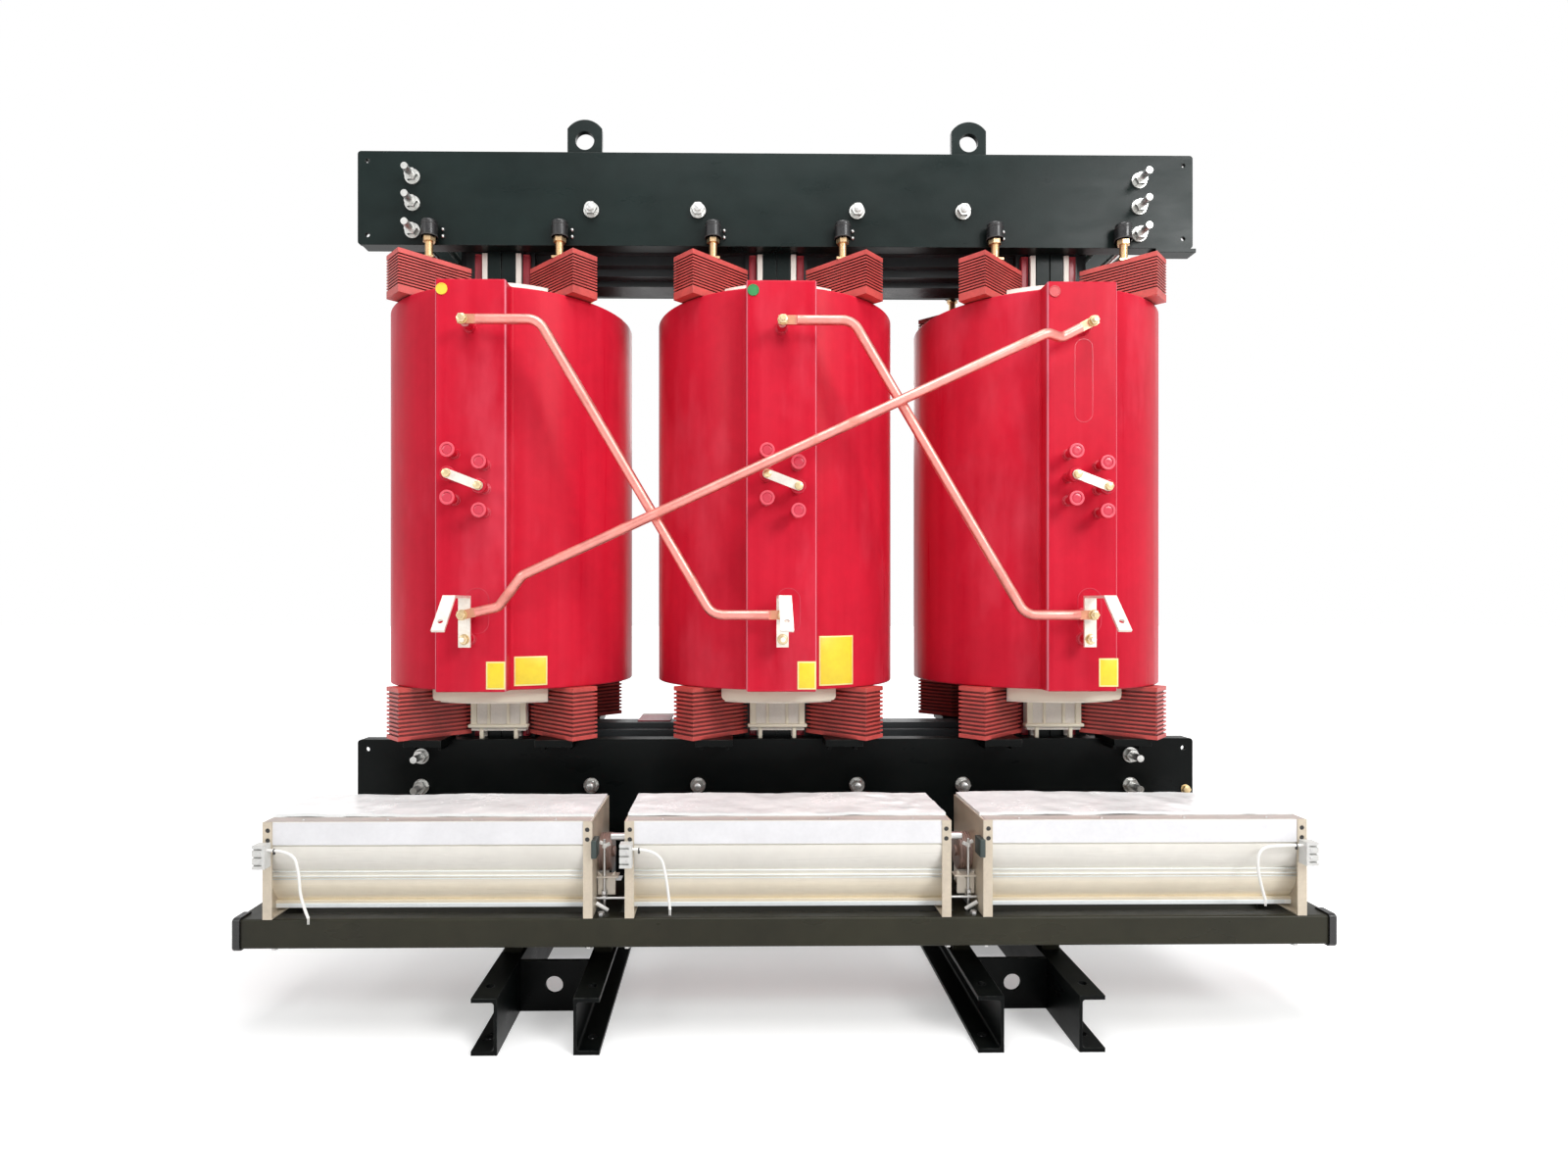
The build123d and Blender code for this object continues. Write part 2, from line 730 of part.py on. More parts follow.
# Tinned hook bars at the foot of each tab
hook_middle_y = terminal_face_y + hook_thick / 2
hook_bend = (terminal_face_y + hook_reach_out, hook_top)
hook_tip = (hook_bend[0] + hook_fall[0], hook_bend[1] - hook_fall[1])
hook_path = ((hook_middle_y, hook_foot), (hook_middle_y, hook_top), hook_bend, hook_tip)
hook_reach = hypot(hook_tip[0] - hook_bend[0], hook_tip[1] - hook_bend[1])
hook_step = [(hook_bend[i] - hook_tip[i]) / hook_reach for i in (0, 1)]
hook_hole = [hook_tip[i] + hook_step[i] * hook_hole_from_tip for i in (0, 1)]
with BuildPart() as hv_terminal_bars:
    for x in tab_xs.values():
        with BuildSketch(Plane.YZ.offset(x)):
            with BuildLine():
                Polyline(*strip_outline([(-y, z) for y, z in hook_path], hook_thick / 2), close=True)
            make_face()
        extrude(amount=hook_width / 2, both=True)
        for z in (lower_terminal_z, second_stud_z):
            pin(x, z, stud_r + stud_clear, -terminal_face_y + 1, -hook_face_y - 1, Mode.SUBTRACT)
        across = Plane(origin=(x, -hook_hole[0], hook_hole[1]), z_dir=(0, -hook_step[1], -hook_step[0]))
        with Locations(across):
            Cylinder(hook_hole_r, hook_thick * 3, mode=Mode.SUBTRACT)
save(hv_terminal_bars.part, "hv_terminal_bars")

# Tap links joining the two middle posts
link_y = tab_face_y + tap_length
link_drop = tap_left_z[1] - tap_right_z[1]
link_face_y = link_y + link_thick
with BuildPart() as tap_links:
    for x in tab_xs.values():
        with BuildSketch(Plane.XZ.offset(link_y)):
            with Locations((x, tap_left_z[1] - link_drop / 2)):
                slope = degrees(atan2(link_drop, 2 * tap_x))
                SlotCenterToCenter(hypot(2 * tap_x, link_drop), link_width, rotation=-slope)
        extrude(amount=link_thick)
        for post_x, post_z in ((x - tap_x, tap_left_z[1]), (x + tap_x, tap_right_z[1])):
            hex_nut(post_x, post_z, link_bolt_across, -link_face_y, -link_face_y - link_bolt_thick)
save(tap_links.part, "tap_links")


# Copper delta rods: round bar with a flattened lug at both ends, points as (x, depth, z)
def delta_rod(points, corner_r):
    """A bent rod between two studs; the first and last points are the stud centres."""
    ends = []
    for stud, toward in ((points[0], points[1]), (points[-1], points[-2])):
        run = [toward[i] - stud[i] for i in (0, 2)]
        ends.append((stud, [part / hypot(*run) for part in run]))
    bar_ends = [(s[0] + step[0] * bar_start, s[1], s[2] + step[1] * bar_start) for s, step in ends]
    line_points = [bar_ends[0]] + list(points[1:-1]) + [bar_ends[1]]
    with BuildLine() as route:
        FilletPolyline(*[(x, -depth, z) for x, depth, z in line_points], radius=corner_r)
    with BuildSketch(Plane(origin=route.line @ 0, z_dir=route.line % 0)) as bar:
        Circle(rod_r)
    sweep(bar.sketch, path=route.line)
    for (x, depth, z), step in ends:
        tip = (x - step[0] * lug_width / 2, z - step[1] * lug_width / 2)
        tail = (x + step[0] * lug_length, z + step[1] * lug_length)
        with BuildSketch(Plane.XZ.offset(depth - lug_thick / 2)) as lug:
            with BuildLine():
                Polyline(*strip_outline([tip, tail], lug_width / 2), close=True)
            make_face()
        extrude(lug.sketch, amount=lug_thick)
        hole_r = stud_r + stud_clear
        pin(x, z, hole_r, lug_thick - depth, -lug_thick - depth, Mode.SUBTRACT)


def in_plane(points):
    """Points of a rod that stays in the plane of the terminals."""
    return [(x, rod_plane_y, z) for x, z in points]


rod_a_b = ((tab_xs["a"], upper_terminal_z), (-582, upper_terminal_z))
rod_a_b += ((-168, lower_terminal_z), (tab_xs["b"], lower_terminal_z))
with BuildPart() as delta_rod_ab:
    delta_rod(in_plane(rod_a_b), bend_r)
save(delta_rod_ab.part, "delta_rod_ab")

rod_b_c = ((tab_xs["b"], upper_terminal_z), (167, upper_terminal_z))
rod_b_c += ((580, lower_terminal_z), (tab_xs["c"], lower_terminal_z))
with BuildPart() as delta_rod_bc:
    delta_rod(in_plane(rod_b_c), bend_r)
save(delta_rod_bc.part, "delta_rod_bc")

# The third rod steps out of that plane to cross over the other two
rod_c_a = in_plane([(tab_xs["a"], lower_terminal_z), (-676, 942)])
rod_c_a += [(-612, crossing_plane_y, 1016), (620, crossing_plane_y, 1588)]
rod_c_a += in_plane([(666, 1586), (tab_xs["c"], upper_terminal_z)])
with BuildPart() as delta_rod_ca:
    delta_rod(rod_c_a, tight_bend_r)
save(delta_rod_ca.part, "delta_rod_ca")

# Fans: a folded housing between two end plates
def at(depth, z):
    """A point of the fan section, measured inward from the front face."""
    return (depth - fan_face_y, z)


seam = ((skin_in, seam_high), (seam_in, seam_high), (seam_in, seam_low), (skin_in, seam_low))
upper_swell = ((skin_in, seam_low), swell_middles[0], (bead_in, bead_zs[0]))
lower_swell = ((bead_in, bead_zs[-1]), swell_middles[1], (sill_in, sill_z))
beads = [(bead_in - bead_out * (i % 3 == 1), z) for i, z in enumerate(bead_zs)]
sill = ((sill_in, sill_z), (lip_in, sill_z), (lip_in, sill_z - lip_drop))
shell_back = ((shell_depth, sill_z - lip_drop), (shell_depth, fan_top_z), (skin_in, fan_top_z))
roof_z = fan_top_z - shell_wall
back_in = shell_depth - shell_wall
floor_z = sill_z - lip_drop + shell_wall
inside = ((hollow_in[0], roof_z), (hollow_in[0], seam_low), (hollow_in[1], bead_zs[2]))
inside += ((hollow_in[2], sill_z), (back_in, floor_z), (back_in, roof_z))
with BuildPart() as one_fan:
    with BuildSketch(Plane.YZ):
        with BuildLine():
            Polyline(at(skin_in, fan_top_z), *[at(*point) for point in seam])
            ThreePointArc(*[at(*point) for point in upper_swell])
            Polyline(*[at(*point) for point in beads])
            ThreePointArc(*[at(*point) for point in lower_swell])
            Polyline(*[at(*point) for point in sill + shell_back])
        make_face()
        with BuildLine():
            Polyline(*[at(*point) for point in inside], close=True)
        make_face(mode=Mode.SUBTRACT)
    extrude(amount=fan_half - plate_thick, both=True)

for turn, side in ((0, "front"), (180, "rear")):
    for phase, x in zip("abc", fan_xs):
        with BuildPart() as fan:
            with Locations(Location((x, 0, 0), (0, 0, turn))):
                add(one_fan.part)
        save(fan.part, "fan_housing_" + side + "_" + phase)

with BuildPart() as plate_pair:
    y_front, y_back = -fan_face_y, fan_depth - fan_face_y
    lip_y = (y_front, y_front + plate_thick)
    for end in (-1, 1):
        outer, inner = end * fan_half, end * (fan_half - plate_thick)
        lip = end * (fan_half - plate_lip)
        block((outer, inner), (y_front, y_back), (fan_base_z, fan_top_z))
        block((lip, outer), lip_y, (fan_base_z, fan_top_z))
        block((lip, outer), (y_front, y_back), (fan_base_z, fan_base_z + plate_thick))
        for z in plate_hole_zs:
            hole_x = end * (fan_half - plate_hole_in)
            pin(hole_x, z, plate_hole_r, y_front - 1, y_front + 1 + plate_thick, Mode.SUBTRACT)
        back_span = (y_back - plate_thick, y_back)
        block((end * (fan_half - back_lip), outer), back_span, (back_lip_low, fan_top_z))
        for z in back_hole_zs:
            hole_x = end * (fan_half - back_lip + plate_hole_in)
            pin(hole_x, z, back_hole_r, y_back - 1 - plate_thick, y_back + 1, Mode.SUBTRACT)
with BuildPart() as fan_end_plates:
    with Locations(*both_ways([(x, 0) for x in fan_xs])):
        add(plate_pair.part)
save(fan_end_plates.part, "fan_end_plates")

# Motors stand on the inner end plates of the outer fans: a ribbed drum with a shaft boss
with BuildPart() as one_motor:
    with Locations((0, 0, 0)):
        Cylinder(motor_r - motor_rib, motor_length, rotation=(0, 90, 0))
    for step in range(motor_ribs):
        rib_x = (step + 0.5 - motor_ribs / 2) * motor_length / motor_ribs
        with Locations((rib_x, 0, 0)):
            Cylinder(motor_r, motor_rib_thick, rotation=(0, 90, 0))
    with Locations((motor_length / 2, 0, 0)):
        Cylinder(motor_boss_r, 2 * motor_boss, rotation=(0, 90, 0))
motor_x = fan_xs[2] - fan_half - motor_length / 2
with BuildPart() as fan_motors:
    for way in (front, rear):
        y = way * (fan_face_y - motor_in)
        turns = (Location((-motor_x, y, motor_z)), Location((motor_x, y, motor_z), (0, 0, 180)))
        with Locations(*turns):
            add(one_motor.part)
save(fan_motors.part, "fan_motors")

# Connector blocks on the outer end plates: ribbed terminal strips
connector_ends = ((fan_xs[0], -1), (fan_xs[1], -1), (fan_xs[2], 1))
with BuildPart() as one_connector:
    y_span = (-fan_face_y, -fan_face_y - connector_depth)
    block((-connector_out, connector_in), y_span, (connector_low, connector_high))
    groove_y = (-fan_face_y - connector_depth + groove_deep, -fan_face_y - connector_depth - 1)
    groove_x = (-connector_out - 1, connector_in - groove_stop)
    pitch = (connector_high - connector_low) / 3
    for step in range(3):
        z = connector_low + (step + 0.5) * pitch
        block(groove_x, groove_y, (z - groove_half, z + groove_half), Mode.SUBTRACT)
mirrored_connector = mirror(one_connector.part, about=Plane.YZ, mode=Mode.PRIVATE)
with BuildPart() as fan_connectors:
    for x, end in connector_ends:
        for turn in (0, 180):
            place = Location((0, 0, 0), (0, 0, turn)) * Location((x + end * fan_half, 0, 0))
            with Locations(place):
                add(one_connector.part if end < 0 else mirrored_connector)
save(fan_connectors.part, "fan_connectors")

# Pigtails: straight runs rounded as widely as the runs allow
cord_starts = [x + end * (fan_half - connector_in) for x, end in connector_ends]
cord_routes = {
    "a": ((cord_starts[0], 428), (-1050, 428), (-1037, 376), (-1035, 326), (-1018, 284)),
    "b": ((cord_starts[1], 428), (-276, 428), (-259, 364), (-253, 300)),
    "c": ((cord_starts[2], 432), (1056, 432), (1007, 426), (1006, 369), (1023, 315)),
}


def corner_radii(points):
    """The widest even radius at each corner of a run of points."""
    radii = []
    for before, corner, after in zip(points, points[1:], points[2:]):
        run_in = hypot(corner[0] - before[0], corner[1] - before[1])
        run_out = hypot(after[0] - corner[0], after[1] - corner[1])
        heading_in = atan2(corner[1] - before[1], corner[0] - before[0])
        heading_out = atan2(after[1] - corner[1], after[0] - corner[0])
        turn = abs((heading_out - heading_in + pi) % (2 * pi) - pi)
        radii.append(cord_fill * min(run_in, run_out) / tan(turn / 2))
    return radii


for phase, points in cord_routes.items():
    radii = corner_radii(points)
    print("cord", phase, "radii", [round(r, 1) for r in radii], "least", 10 * cord_r)
    with BuildPart() as cord:
        with BuildLine() as route:
            FilletPolyline(*[(x, -cord_y, z) for x, z in points], radius=radii)
        with BuildSketch(Plane(origin=route.line @ 0, z_dir=route.line % 0)) as tube:
            Circle(cord_r)
        sweep(tube.sketch, path=route.line)
    save(cord.part, "fan_cord_" + phase)

# Fan frames: a long beam in front, a rear beam, cross members and posts on the rails
beam_low = fan_base_z - beam_height
beam_zs = (beam_low, fan_base_z)
front_beam_y = (-fan_face_y, beam_depth - fan_face_y)
rear_beam_y = (fan_depth - fan_face_y - beam_depth, fan_depth - fan_face_y + rear_beam_lap)
end_member_x = frame_half - member_half
member_xs = (-end_member_x, -mid_member_x, mid_member_x, end_member_x)
with BuildPart() as one_frame:
    block((-frame_half, frame_half), front_beam_y, beam_zs)
    long_edges = one_frame.edges().filter_by(Axis.X)
    fillet(long_edges, beam_r)
    block((-frame_half, frame_half), rear_beam_y, beam_zs)
    for x in member_xs:
        member_y = (front_beam_y[1] - beam_r, rear_beam_y[0])
        block((x - member_half, x + member_half), member_y, beam_zs)
    for rail_x in (-rail_gauge / 2, rail_gauge / 2):
        for out in (-1, 1):
            x = rail_x + out * (rail_gap + rail_flange) / 2
            block((x - member_half, x + member_half), rear_beam_y, (rail_height, beam_low))
for turn, side in ((0, "front"), (180, "rear")):
    with BuildPart() as fan_frame:
        with Locations(Location((0, 0, 0), (0, 0, turn))):
            add(one_frame.part)
    save(fan_frame.part, "fan_frame_" + side)

# Rounded caps pushed over the ends of the outer beams
cap_middle = ((front_beam_y[0] + front_beam_y[1]) / 2, (beam_zs[0] + beam_zs[1]) / 2)
with BuildPart() as one_beam_cap:
    with BuildSketch(Plane.YZ.offset(frame_half - end_cap_in)):
        with Locations(cap_middle):
            cap_size = (beam_depth + 2 * end_cap_wall, beam_height + 2 * end_cap_wall)
            RectangleRounded(*cap_size, end_cap_r)
    extrude(amount=end_cap_in + end_cap_out)
    fillet(one_beam_cap.faces().sort_by(Axis.X)[-1].edges(), end_cap_out - 1)
    block((frame_half - end_cap_in - 1, frame_half), front_beam_y, beam_zs, Mode.SUBTRACT)
    member_y = (front_beam_y[1] - 1, front_beam_y[1] + end_cap_wall + 1)
    block((frame_half - end_cap_in - 1, frame_half), member_y, beam_zs, Mode.SUBTRACT)
other_beam_cap = mirror(one_beam_cap.part, about=Plane.YZ, mode=Mode.PRIVATE)
with BuildPart() as beam_caps:
    for turn in (0, 180):
        with Locations(Location((0, 0, 0), (0, 0, turn))):
            add(one_beam_cap.part)
            add(other_beam_cap)
save(beam_caps.part, "beam_caps")

# Low-voltage bars rising behind the rear clamp from the top of the inner coils
with BuildPart() as lv_terminal_bars:
    for x in limb_xs:
        x_span = (x - lv_bar_width / 2, x + lv_bar_width / 2)
        block(x_span, (lv_bar_y, lv_bar_y + lv_bar_thick), (coil_top_z, lv_bar_top))
        for dx in (-lv_hole_pitch / 2, lv_hole_pitch / 2):
            for dz in (-lv_hole_pitch / 2, lv_hole_pitch / 2):
                z = lv_bar_top - lv_hole_drop + dz
                pin(x + dx, z, lv_hole_r, lv_bar_y - 1, lv_bar_y + lv_bar_thick + 1, Mode.SUBTRACT)
save(lv_terminal_bars.part, "lv_terminal_bars")
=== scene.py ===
import json
from math import pi, radians, sqrt

import bpy
from bpy.props import FloatProperty, FloatVectorProperty, PointerProperty
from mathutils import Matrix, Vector


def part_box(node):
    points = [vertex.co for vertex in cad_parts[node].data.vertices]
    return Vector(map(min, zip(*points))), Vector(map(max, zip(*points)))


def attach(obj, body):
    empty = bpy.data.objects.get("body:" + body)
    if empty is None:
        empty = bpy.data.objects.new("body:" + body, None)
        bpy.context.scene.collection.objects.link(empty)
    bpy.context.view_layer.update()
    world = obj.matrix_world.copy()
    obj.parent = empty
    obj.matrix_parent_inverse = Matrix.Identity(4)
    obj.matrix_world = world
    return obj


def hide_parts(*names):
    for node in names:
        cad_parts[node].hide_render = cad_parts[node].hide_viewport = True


bl_info = {
    "name": "Dry-type transformer",
    "version": (1, 0, 0),
    "blender": (4, 5, 0),
    "location": "View3D > Sidebar > Transformer",
    "description": "Finishes, fittings and stage for a dry-type transformer",
    "category": "Object",
}

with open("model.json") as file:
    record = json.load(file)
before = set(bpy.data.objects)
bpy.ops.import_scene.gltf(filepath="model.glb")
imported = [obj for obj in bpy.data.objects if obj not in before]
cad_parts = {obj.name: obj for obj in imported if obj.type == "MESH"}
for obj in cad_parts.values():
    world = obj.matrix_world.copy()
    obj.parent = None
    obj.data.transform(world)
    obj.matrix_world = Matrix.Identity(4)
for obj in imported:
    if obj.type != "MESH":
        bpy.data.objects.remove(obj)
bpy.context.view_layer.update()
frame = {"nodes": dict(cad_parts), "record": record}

BODY = "root"
PHASES = "abc"


def middle(node):
    """The middle of a CAD node's box."""
    low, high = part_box(node)
    return (low + high) / 2


limb_xs = [middle("hv_coil_" + phase).x for phase in PHASES]
fan_xs = [middle("fan_housing_front_" + phase).x for phase in PHASES]
at_limbs = [(x, 0, 0) for x in limb_xs]
at_fans = [(x, 0, 0) for x in fan_xs]
rod_end = 0.011
tab_xs = [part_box("delta_rod_ab")[0].x + rod_end, 0.0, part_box("delta_rod_bc")[1].x - rod_end]
rod_y = middle("delta_rod_ab").y
lug_front_y = rod_y - 0.003
hook_front_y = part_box("hv_terminal_bars")[1].y - 0.006
coil_r = (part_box("hv_coil_b")[1].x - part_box("hv_coil_b")[0].x) / 2
lower_clamp_low, lower_clamp_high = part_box("lower_clamp_front")
upper_clamp_low, upper_clamp_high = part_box("upper_clamp_front")
fan_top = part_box("fan_housing_front_b")[1].z
beam_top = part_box("fan_frame_front")[1].z
cap_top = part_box("pressure_caps")[1].z
connector_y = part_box("fan_connectors")[0].y

# Places that no box of the frame gives

TAB_Y, TAB_HALF = -0.374, 0.0865
TAP_X, TAP_Y = 0.0375, -0.4304
LEFT_TAP_ZS, RIGHT_TAP_ZS = (1.317, 1.260, 1.203), (1.289, 1.231, 1.173)
UPPER_STUD_Z, LOWER_STUD_Z, SECOND_STUD_Z = 1.626, 0.923, 0.864
PRESS_X, PRESS_Y = 0.172, -0.212
FAN_END, FAN_PITCH = 0.351, 0.771


def colour_setting(name, description, default):
    """A colour that the user can change."""
    return FloatVectorProperty(
        name=name, description=description, subtype="COLOR", size=3, min=0, max=1, default=default
    )


def length_setting(name, description, default):
    """A length that the user can change."""
    return FloatProperty(name=name, description=description, unit="LENGTH", min=0, default=default)


class TransformerColours(bpy.types.PropertyGroup):
    """Base colours of the finishes"""

    dark_paint: colour_setting("Dark paint", "Upper clamps and lugs", (0.008, 0.015, 0.014))
    # Painted reflection: the fan frames wear the clamps' dark paint; this warmer, lighter copy paints in the
    # warm light they reflect.
    warm_lit_paint: colour_setting("Warm-lit paint", "Frames of the fans", (0.022, 0.021, 0.012))
    # Painted shade: the lower clamps, rails and brackets wear the clamps' dark paint, darkened here for the
    # shade they stand in.
    shaded_paint: colour_setting("Shaded paint", "Lower clamps, rails and brackets", (0.003, 0.004, 0.004))
    core: colour_setting("Core", "Varnished edges of the core sheets", (0.012, 0.016, 0.018))
    coil: colour_setting("Coil resin", "Cast outer coils", (0.56, 0.010, 0.030))
    block: colour_setting("Block resin", "Ribbed support blocks", (0.57, 0.075, 0.066))
    inner_coil: colour_setting("Inner coil", "Resin-soaked foil winding", (0.42, 0.30, 0.17))
    board: colour_setting("Board", "Cream insulating board", (1.0, 0.92, 0.82))
    copper: colour_setting("Copper", "Bent connecting rods", (0.74, 0.29, 0.25))
    tin: colour_setting("Tin", "Tinned bars and links", (0.88, 0.83, 0.75))
    zinc: colour_setting("Zinc", "Plated bolts, nuts and rods", (0.62, 0.62, 0.60))
    brass: colour_setting("Brass", "Yellow passivated studs", (0.68, 0.47, 0.27))
    yellow_zinc: colour_setting("Yellow zinc", "Nuts of the terminals", (0.66, 0.52, 0.30))
    rubber: colour_setting("Black caps", "Caps of the pressure bolts", (0.012, 0.012, 0.013))
    fan_shell: colour_setting("Fan shell", "Coated fan housings", (0.80, 0.78, 0.72))
    fan_plate: colour_setting("Fan end plates", "Plated sheet with a warm tone", (0.55, 0.48, 0.38))
    motor: colour_setting("Motor", "Primer on the motors", (0.30, 0.20, 0.17))
    nylon: colour_setting("Nylon", "Connector blocks", (0.62, 0.62, 0.60))
    sheath: colour_setting("Cord sheath", "Pigtails", (0.84, 0.82, 0.78))
    white_board: colour_setting("White board", "Strips beside the limbs", (0.76, 0.72, 0.66))
    red_board: colour_setting("Red board", "Channels beside the limbs", (0.34, 0.03, 0.045))
    disc_a: colour_setting("First phase disc", "Yellow disc", (0.85, 0.62, 0.05))
    disc_b: colour_setting("Second phase disc", "Green disc", (0.03, 0.24, 0.07))
    disc_c: colour_setting("Third phase disc", "Red disc", (0.50, 0.015, 0.02))
    plate: colour_setting("Bare plates", "Yellow plates on the coils", (0.86, 0.66, 0.03))
    # Painted highlight: the tap rims are paler than the coil for the light on their rounded edges.
    tap_rim_highlight: colour_setting("Tap rims", "Pale rims of the cast taps", (0.76, 0.085, 0.125))
    plate_rim: colour_setting("Plate rims", "Pale borders of the plates", (0.88, 0.80, 0.34))
    film: colour_setting("Film", "Loose film over the fans", (0.93, 0.97, 0.97))
    frost: colour_setting("Frosted film", "Film on the fan fronts", (0.77, 0.77, 0.79))
    punched: colour_setting("Punched strip", "Strips on the fans", (0.45, 0.40, 0.37))


class TransformerSizes(bpy.types.PropertyGroup):
    """Sizes of the pieces that are added to the frame"""

    cord_diameter: length_setting("Cord", "Width of a pigtail", 0.006)


class TransformerStage(bpy.types.PropertyGroup):
    """Camera, lamps and floor"""

    camera_x: FloatProperty(name="Camera X", description="Along the coils", unit="LENGTH", default=-0.117)
    camera_y: FloatProperty(name="Camera Y", description="Before the coils", unit="LENGTH", default=-2.37)
    camera_z: FloatProperty(name="Camera Z", description="Above the floor", unit="LENGTH", default=0.9534)
    camera_yaw: FloatProperty(name="Yaw", description="Turn to the left", subtype="ANGLE", default=-0.011)
    focal_px: FloatProperty(name="Focal length", description="In pixels of the picture", default=830)
    centre_u: FloatProperty(name="Optical centre, across", description="Pixels from the left", default=758)
    centre_v: FloatProperty(name="Optical centre, down", description="Pixels from the top", default=614.5)
    floor_size: length_setting("Floor", "Side of the square floor", 60)


# Node trees


def add_node(tree, kind, inputs=None, **settings):
    """A node with its settings made and its inputs set or linked."""
    made = tree.nodes.new(kind)
    for name, value in settings.items():
        setattr(made, name, value)
    for key, value in (inputs or {}).items():
        if isinstance(value, bpy.types.NodeSocket):
            tree.links.new(value, made.inputs[key])
        else:
            made.inputs[key].default_value = value
    return made


def maths(tree, operation, a, b=0.0, c=0.0):
    """The result of one Math node."""
    return add_node(tree, "ShaderNodeMath", {0: a, 1: b, 2: c}, operation=operation).outputs[0]


def remap(tree, value, low, high, to_low=0.0, to_high=1.0):
    """A value's range moved to another, clamped."""
    limits = {"Value": value, "From Min": low, "From Max": high, "To Min": to_low, "To Max": to_high}
    return add_node(tree, "ShaderNodeMapRange", limits).outputs["Result"]


def blend_colours(tree, mask, first, second, kind="MIX"):
    """Two colours blended by a mask."""
    inputs = {0: mask, 6: first, 7: second}
    return add_node(tree, "ShaderNodeMix", inputs, data_type="RGBA", blend_type=kind).outputs[2]


def layer(tree, under, mask, amount, colour):
    """A colour laid over another as far as a mask and an amount let it show."""
    return blend_colours(tree, maths(tree, "MULTIPLY", mask, amount), under, solid(colour))


def stretched(tree, vector, scale):
    """Coordinates multiplied axis by axis."""
    return add_node(tree, "ShaderNodeVectorMath", {0: vector, 1: scale}, operation="MULTIPLY").outputs[0]


def coordinate(tree, vector, axis):
    """One coordinate of a vector."""
    return add_node(tree, "ShaderNodeSeparateXYZ", {0: vector}).outputs[axis]


def face_normal(tree):
    """The way the surface faces."""
    return add_node(tree, "ShaderNodeNewGeometry").outputs["Normal"]


def noise(tree, vector, scale, detail=3.0):
    """A noise value, at so many cells a metre."""
    inputs = {"Vector": vector, "Scale": scale, "Detail": detail, "Roughness": 0.55}
    return add_node(tree, "ShaderNodeTexNoise", inputs).outputs["Fac"]


def feed(node, **sockets):
    """Link results to a node's inputs, underscores standing for spaces."""
    for name, socket in sockets.items():
        node.id_data.links.new(socket, node.inputs[name.replace("_", " ")])


def solid(colour):
    """A colour with its alpha."""
    return (*colour, 1.0)


# Effects that several finishes share


def new_group(name, inputs, outputs):
    """A shader node group: its tree, what comes in and the node that takes its results."""
    tree = bpy.data.node_groups.new(name, "ShaderNodeTree")
    for socket, kind, value in inputs:
        made = tree.interface.new_socket(socket, in_out="INPUT", socket_type="NodeSocket" + kind)
        if value is not None:
            made.default_value = value
    for socket, kind in outputs:
        tree.interface.new_socket(socket, in_out="OUTPUT", socket_type="NodeSocket" + kind)
    return tree, add_node(tree, "NodeGroupInput").outputs, add_node(tree, "NodeGroupOutput")


def make_mottle():
    """Colour that drifts lighter and darker in broad and fine patches."""
    tree, given, end = new_group(
        "Mottle",
        [
            ("Vector", "Vector", None),
            ("Colour", "Color", (0.5, 0.5, 0.5, 1)),
            ("Scale", "Float", 6.0),
            ("Spread", "Float", 0.2),
        ],
        [("Colour", "Color"), ("Mask", "Float")],
    )
    broad = noise(tree, given["Vector"], given["Scale"], 2.0)
    fine = noise(tree, given["Vector"], maths(tree, "MULTIPLY", given["Scale"], 9.0), 4.0)
    both = maths(tree, "ADD", maths(tree, "MULTIPLY", broad, 0.65), maths(tree, "MULTIPLY", fine, 0.35))
    swing = remap(tree, both, 0.3, 0.7, -1.0, 1.0)
    gain = maths(tree, "MULTIPLY_ADD", swing, given["Spread"], 1.0)
    inputs = {0: given["Colour"], "Scale": gain}
    colour = add_node(tree, "ShaderNodeVectorMath", inputs, operation="SCALE").outputs[0]
    feed(end, Colour=colour, Mask=remap(tree, both, 0.3, 0.7))


def make_edge_wear_and_highlight():
    """A mask that is 1 on outer and inner edges, broken up by noise: worn edges on the paint, painted edge
    highlights on the coils and blocks.
    """
    tree, given, end = new_group(
        "Edge wear",
        [("Vector", "Vector", None), ("Width", "Float", 0.003), ("Breakup", "Float", 60.0)],
        [("Mask", "Float"), ("Normal", "Vector")],
    )
    rounded = add_node(tree, "ShaderNodeBevel", {"Radius": given["Width"]}, samples=4).outputs[0]
    inputs = {0: rounded, 1: face_normal(tree)}
    match = add_node(tree, "ShaderNodeVectorMath", inputs, operation="DOT_PRODUCT").outputs["Value"]
    edge = remap(tree, match, 0.995, 0.86)
    broken = remap(tree, noise(tree, given["Vector"], given["Breakup"], 4.0), 0.4, 0.62)
    feed(end, Mask=maths(tree, "MULTIPLY", edge, broken), Normal=rounded)


def make_recess():
    """An occlusion mask that grows in grooves, corners and close gaps, where the finishes paint shade."""
    tree, given, end = new_group("Recess", [("Reach", "Float", 0.02)], [("Mask", "Float")])
    inputs = {"Distance": given["Reach"]}
    open_sky = add_node(tree, "ShaderNodeAmbientOcclusion", inputs, samples=6).outputs["AO"]
    feed(end, Mask=remap(tree, open_sky, 0.35, 0.95, 1.0, 0.0))


def make_dust():
    """A mask of settled dust: more on faces that look up, patchy elsewhere."""
    tree, given, end = new_group(
        "Dust",
        [("Vector", "Vector", None), ("Scale", "Float", 9.0), ("Amount", "Float", 0.5)],
        [("Mask", "Float")],
    )
    settled = remap(tree, coordinate(tree, face_normal(tree), "Z"), 0.2, 1.0, 0.12, 1.0)
    patch = remap(tree, noise(tree, given["Vector"], given["Scale"], 5.0), 0.38, 0.72)
    mask = maths(tree, "MULTIPLY", maths(tree, "MULTIPLY", settled, patch), given["Amount"])
    feed(end, Mask=mask)


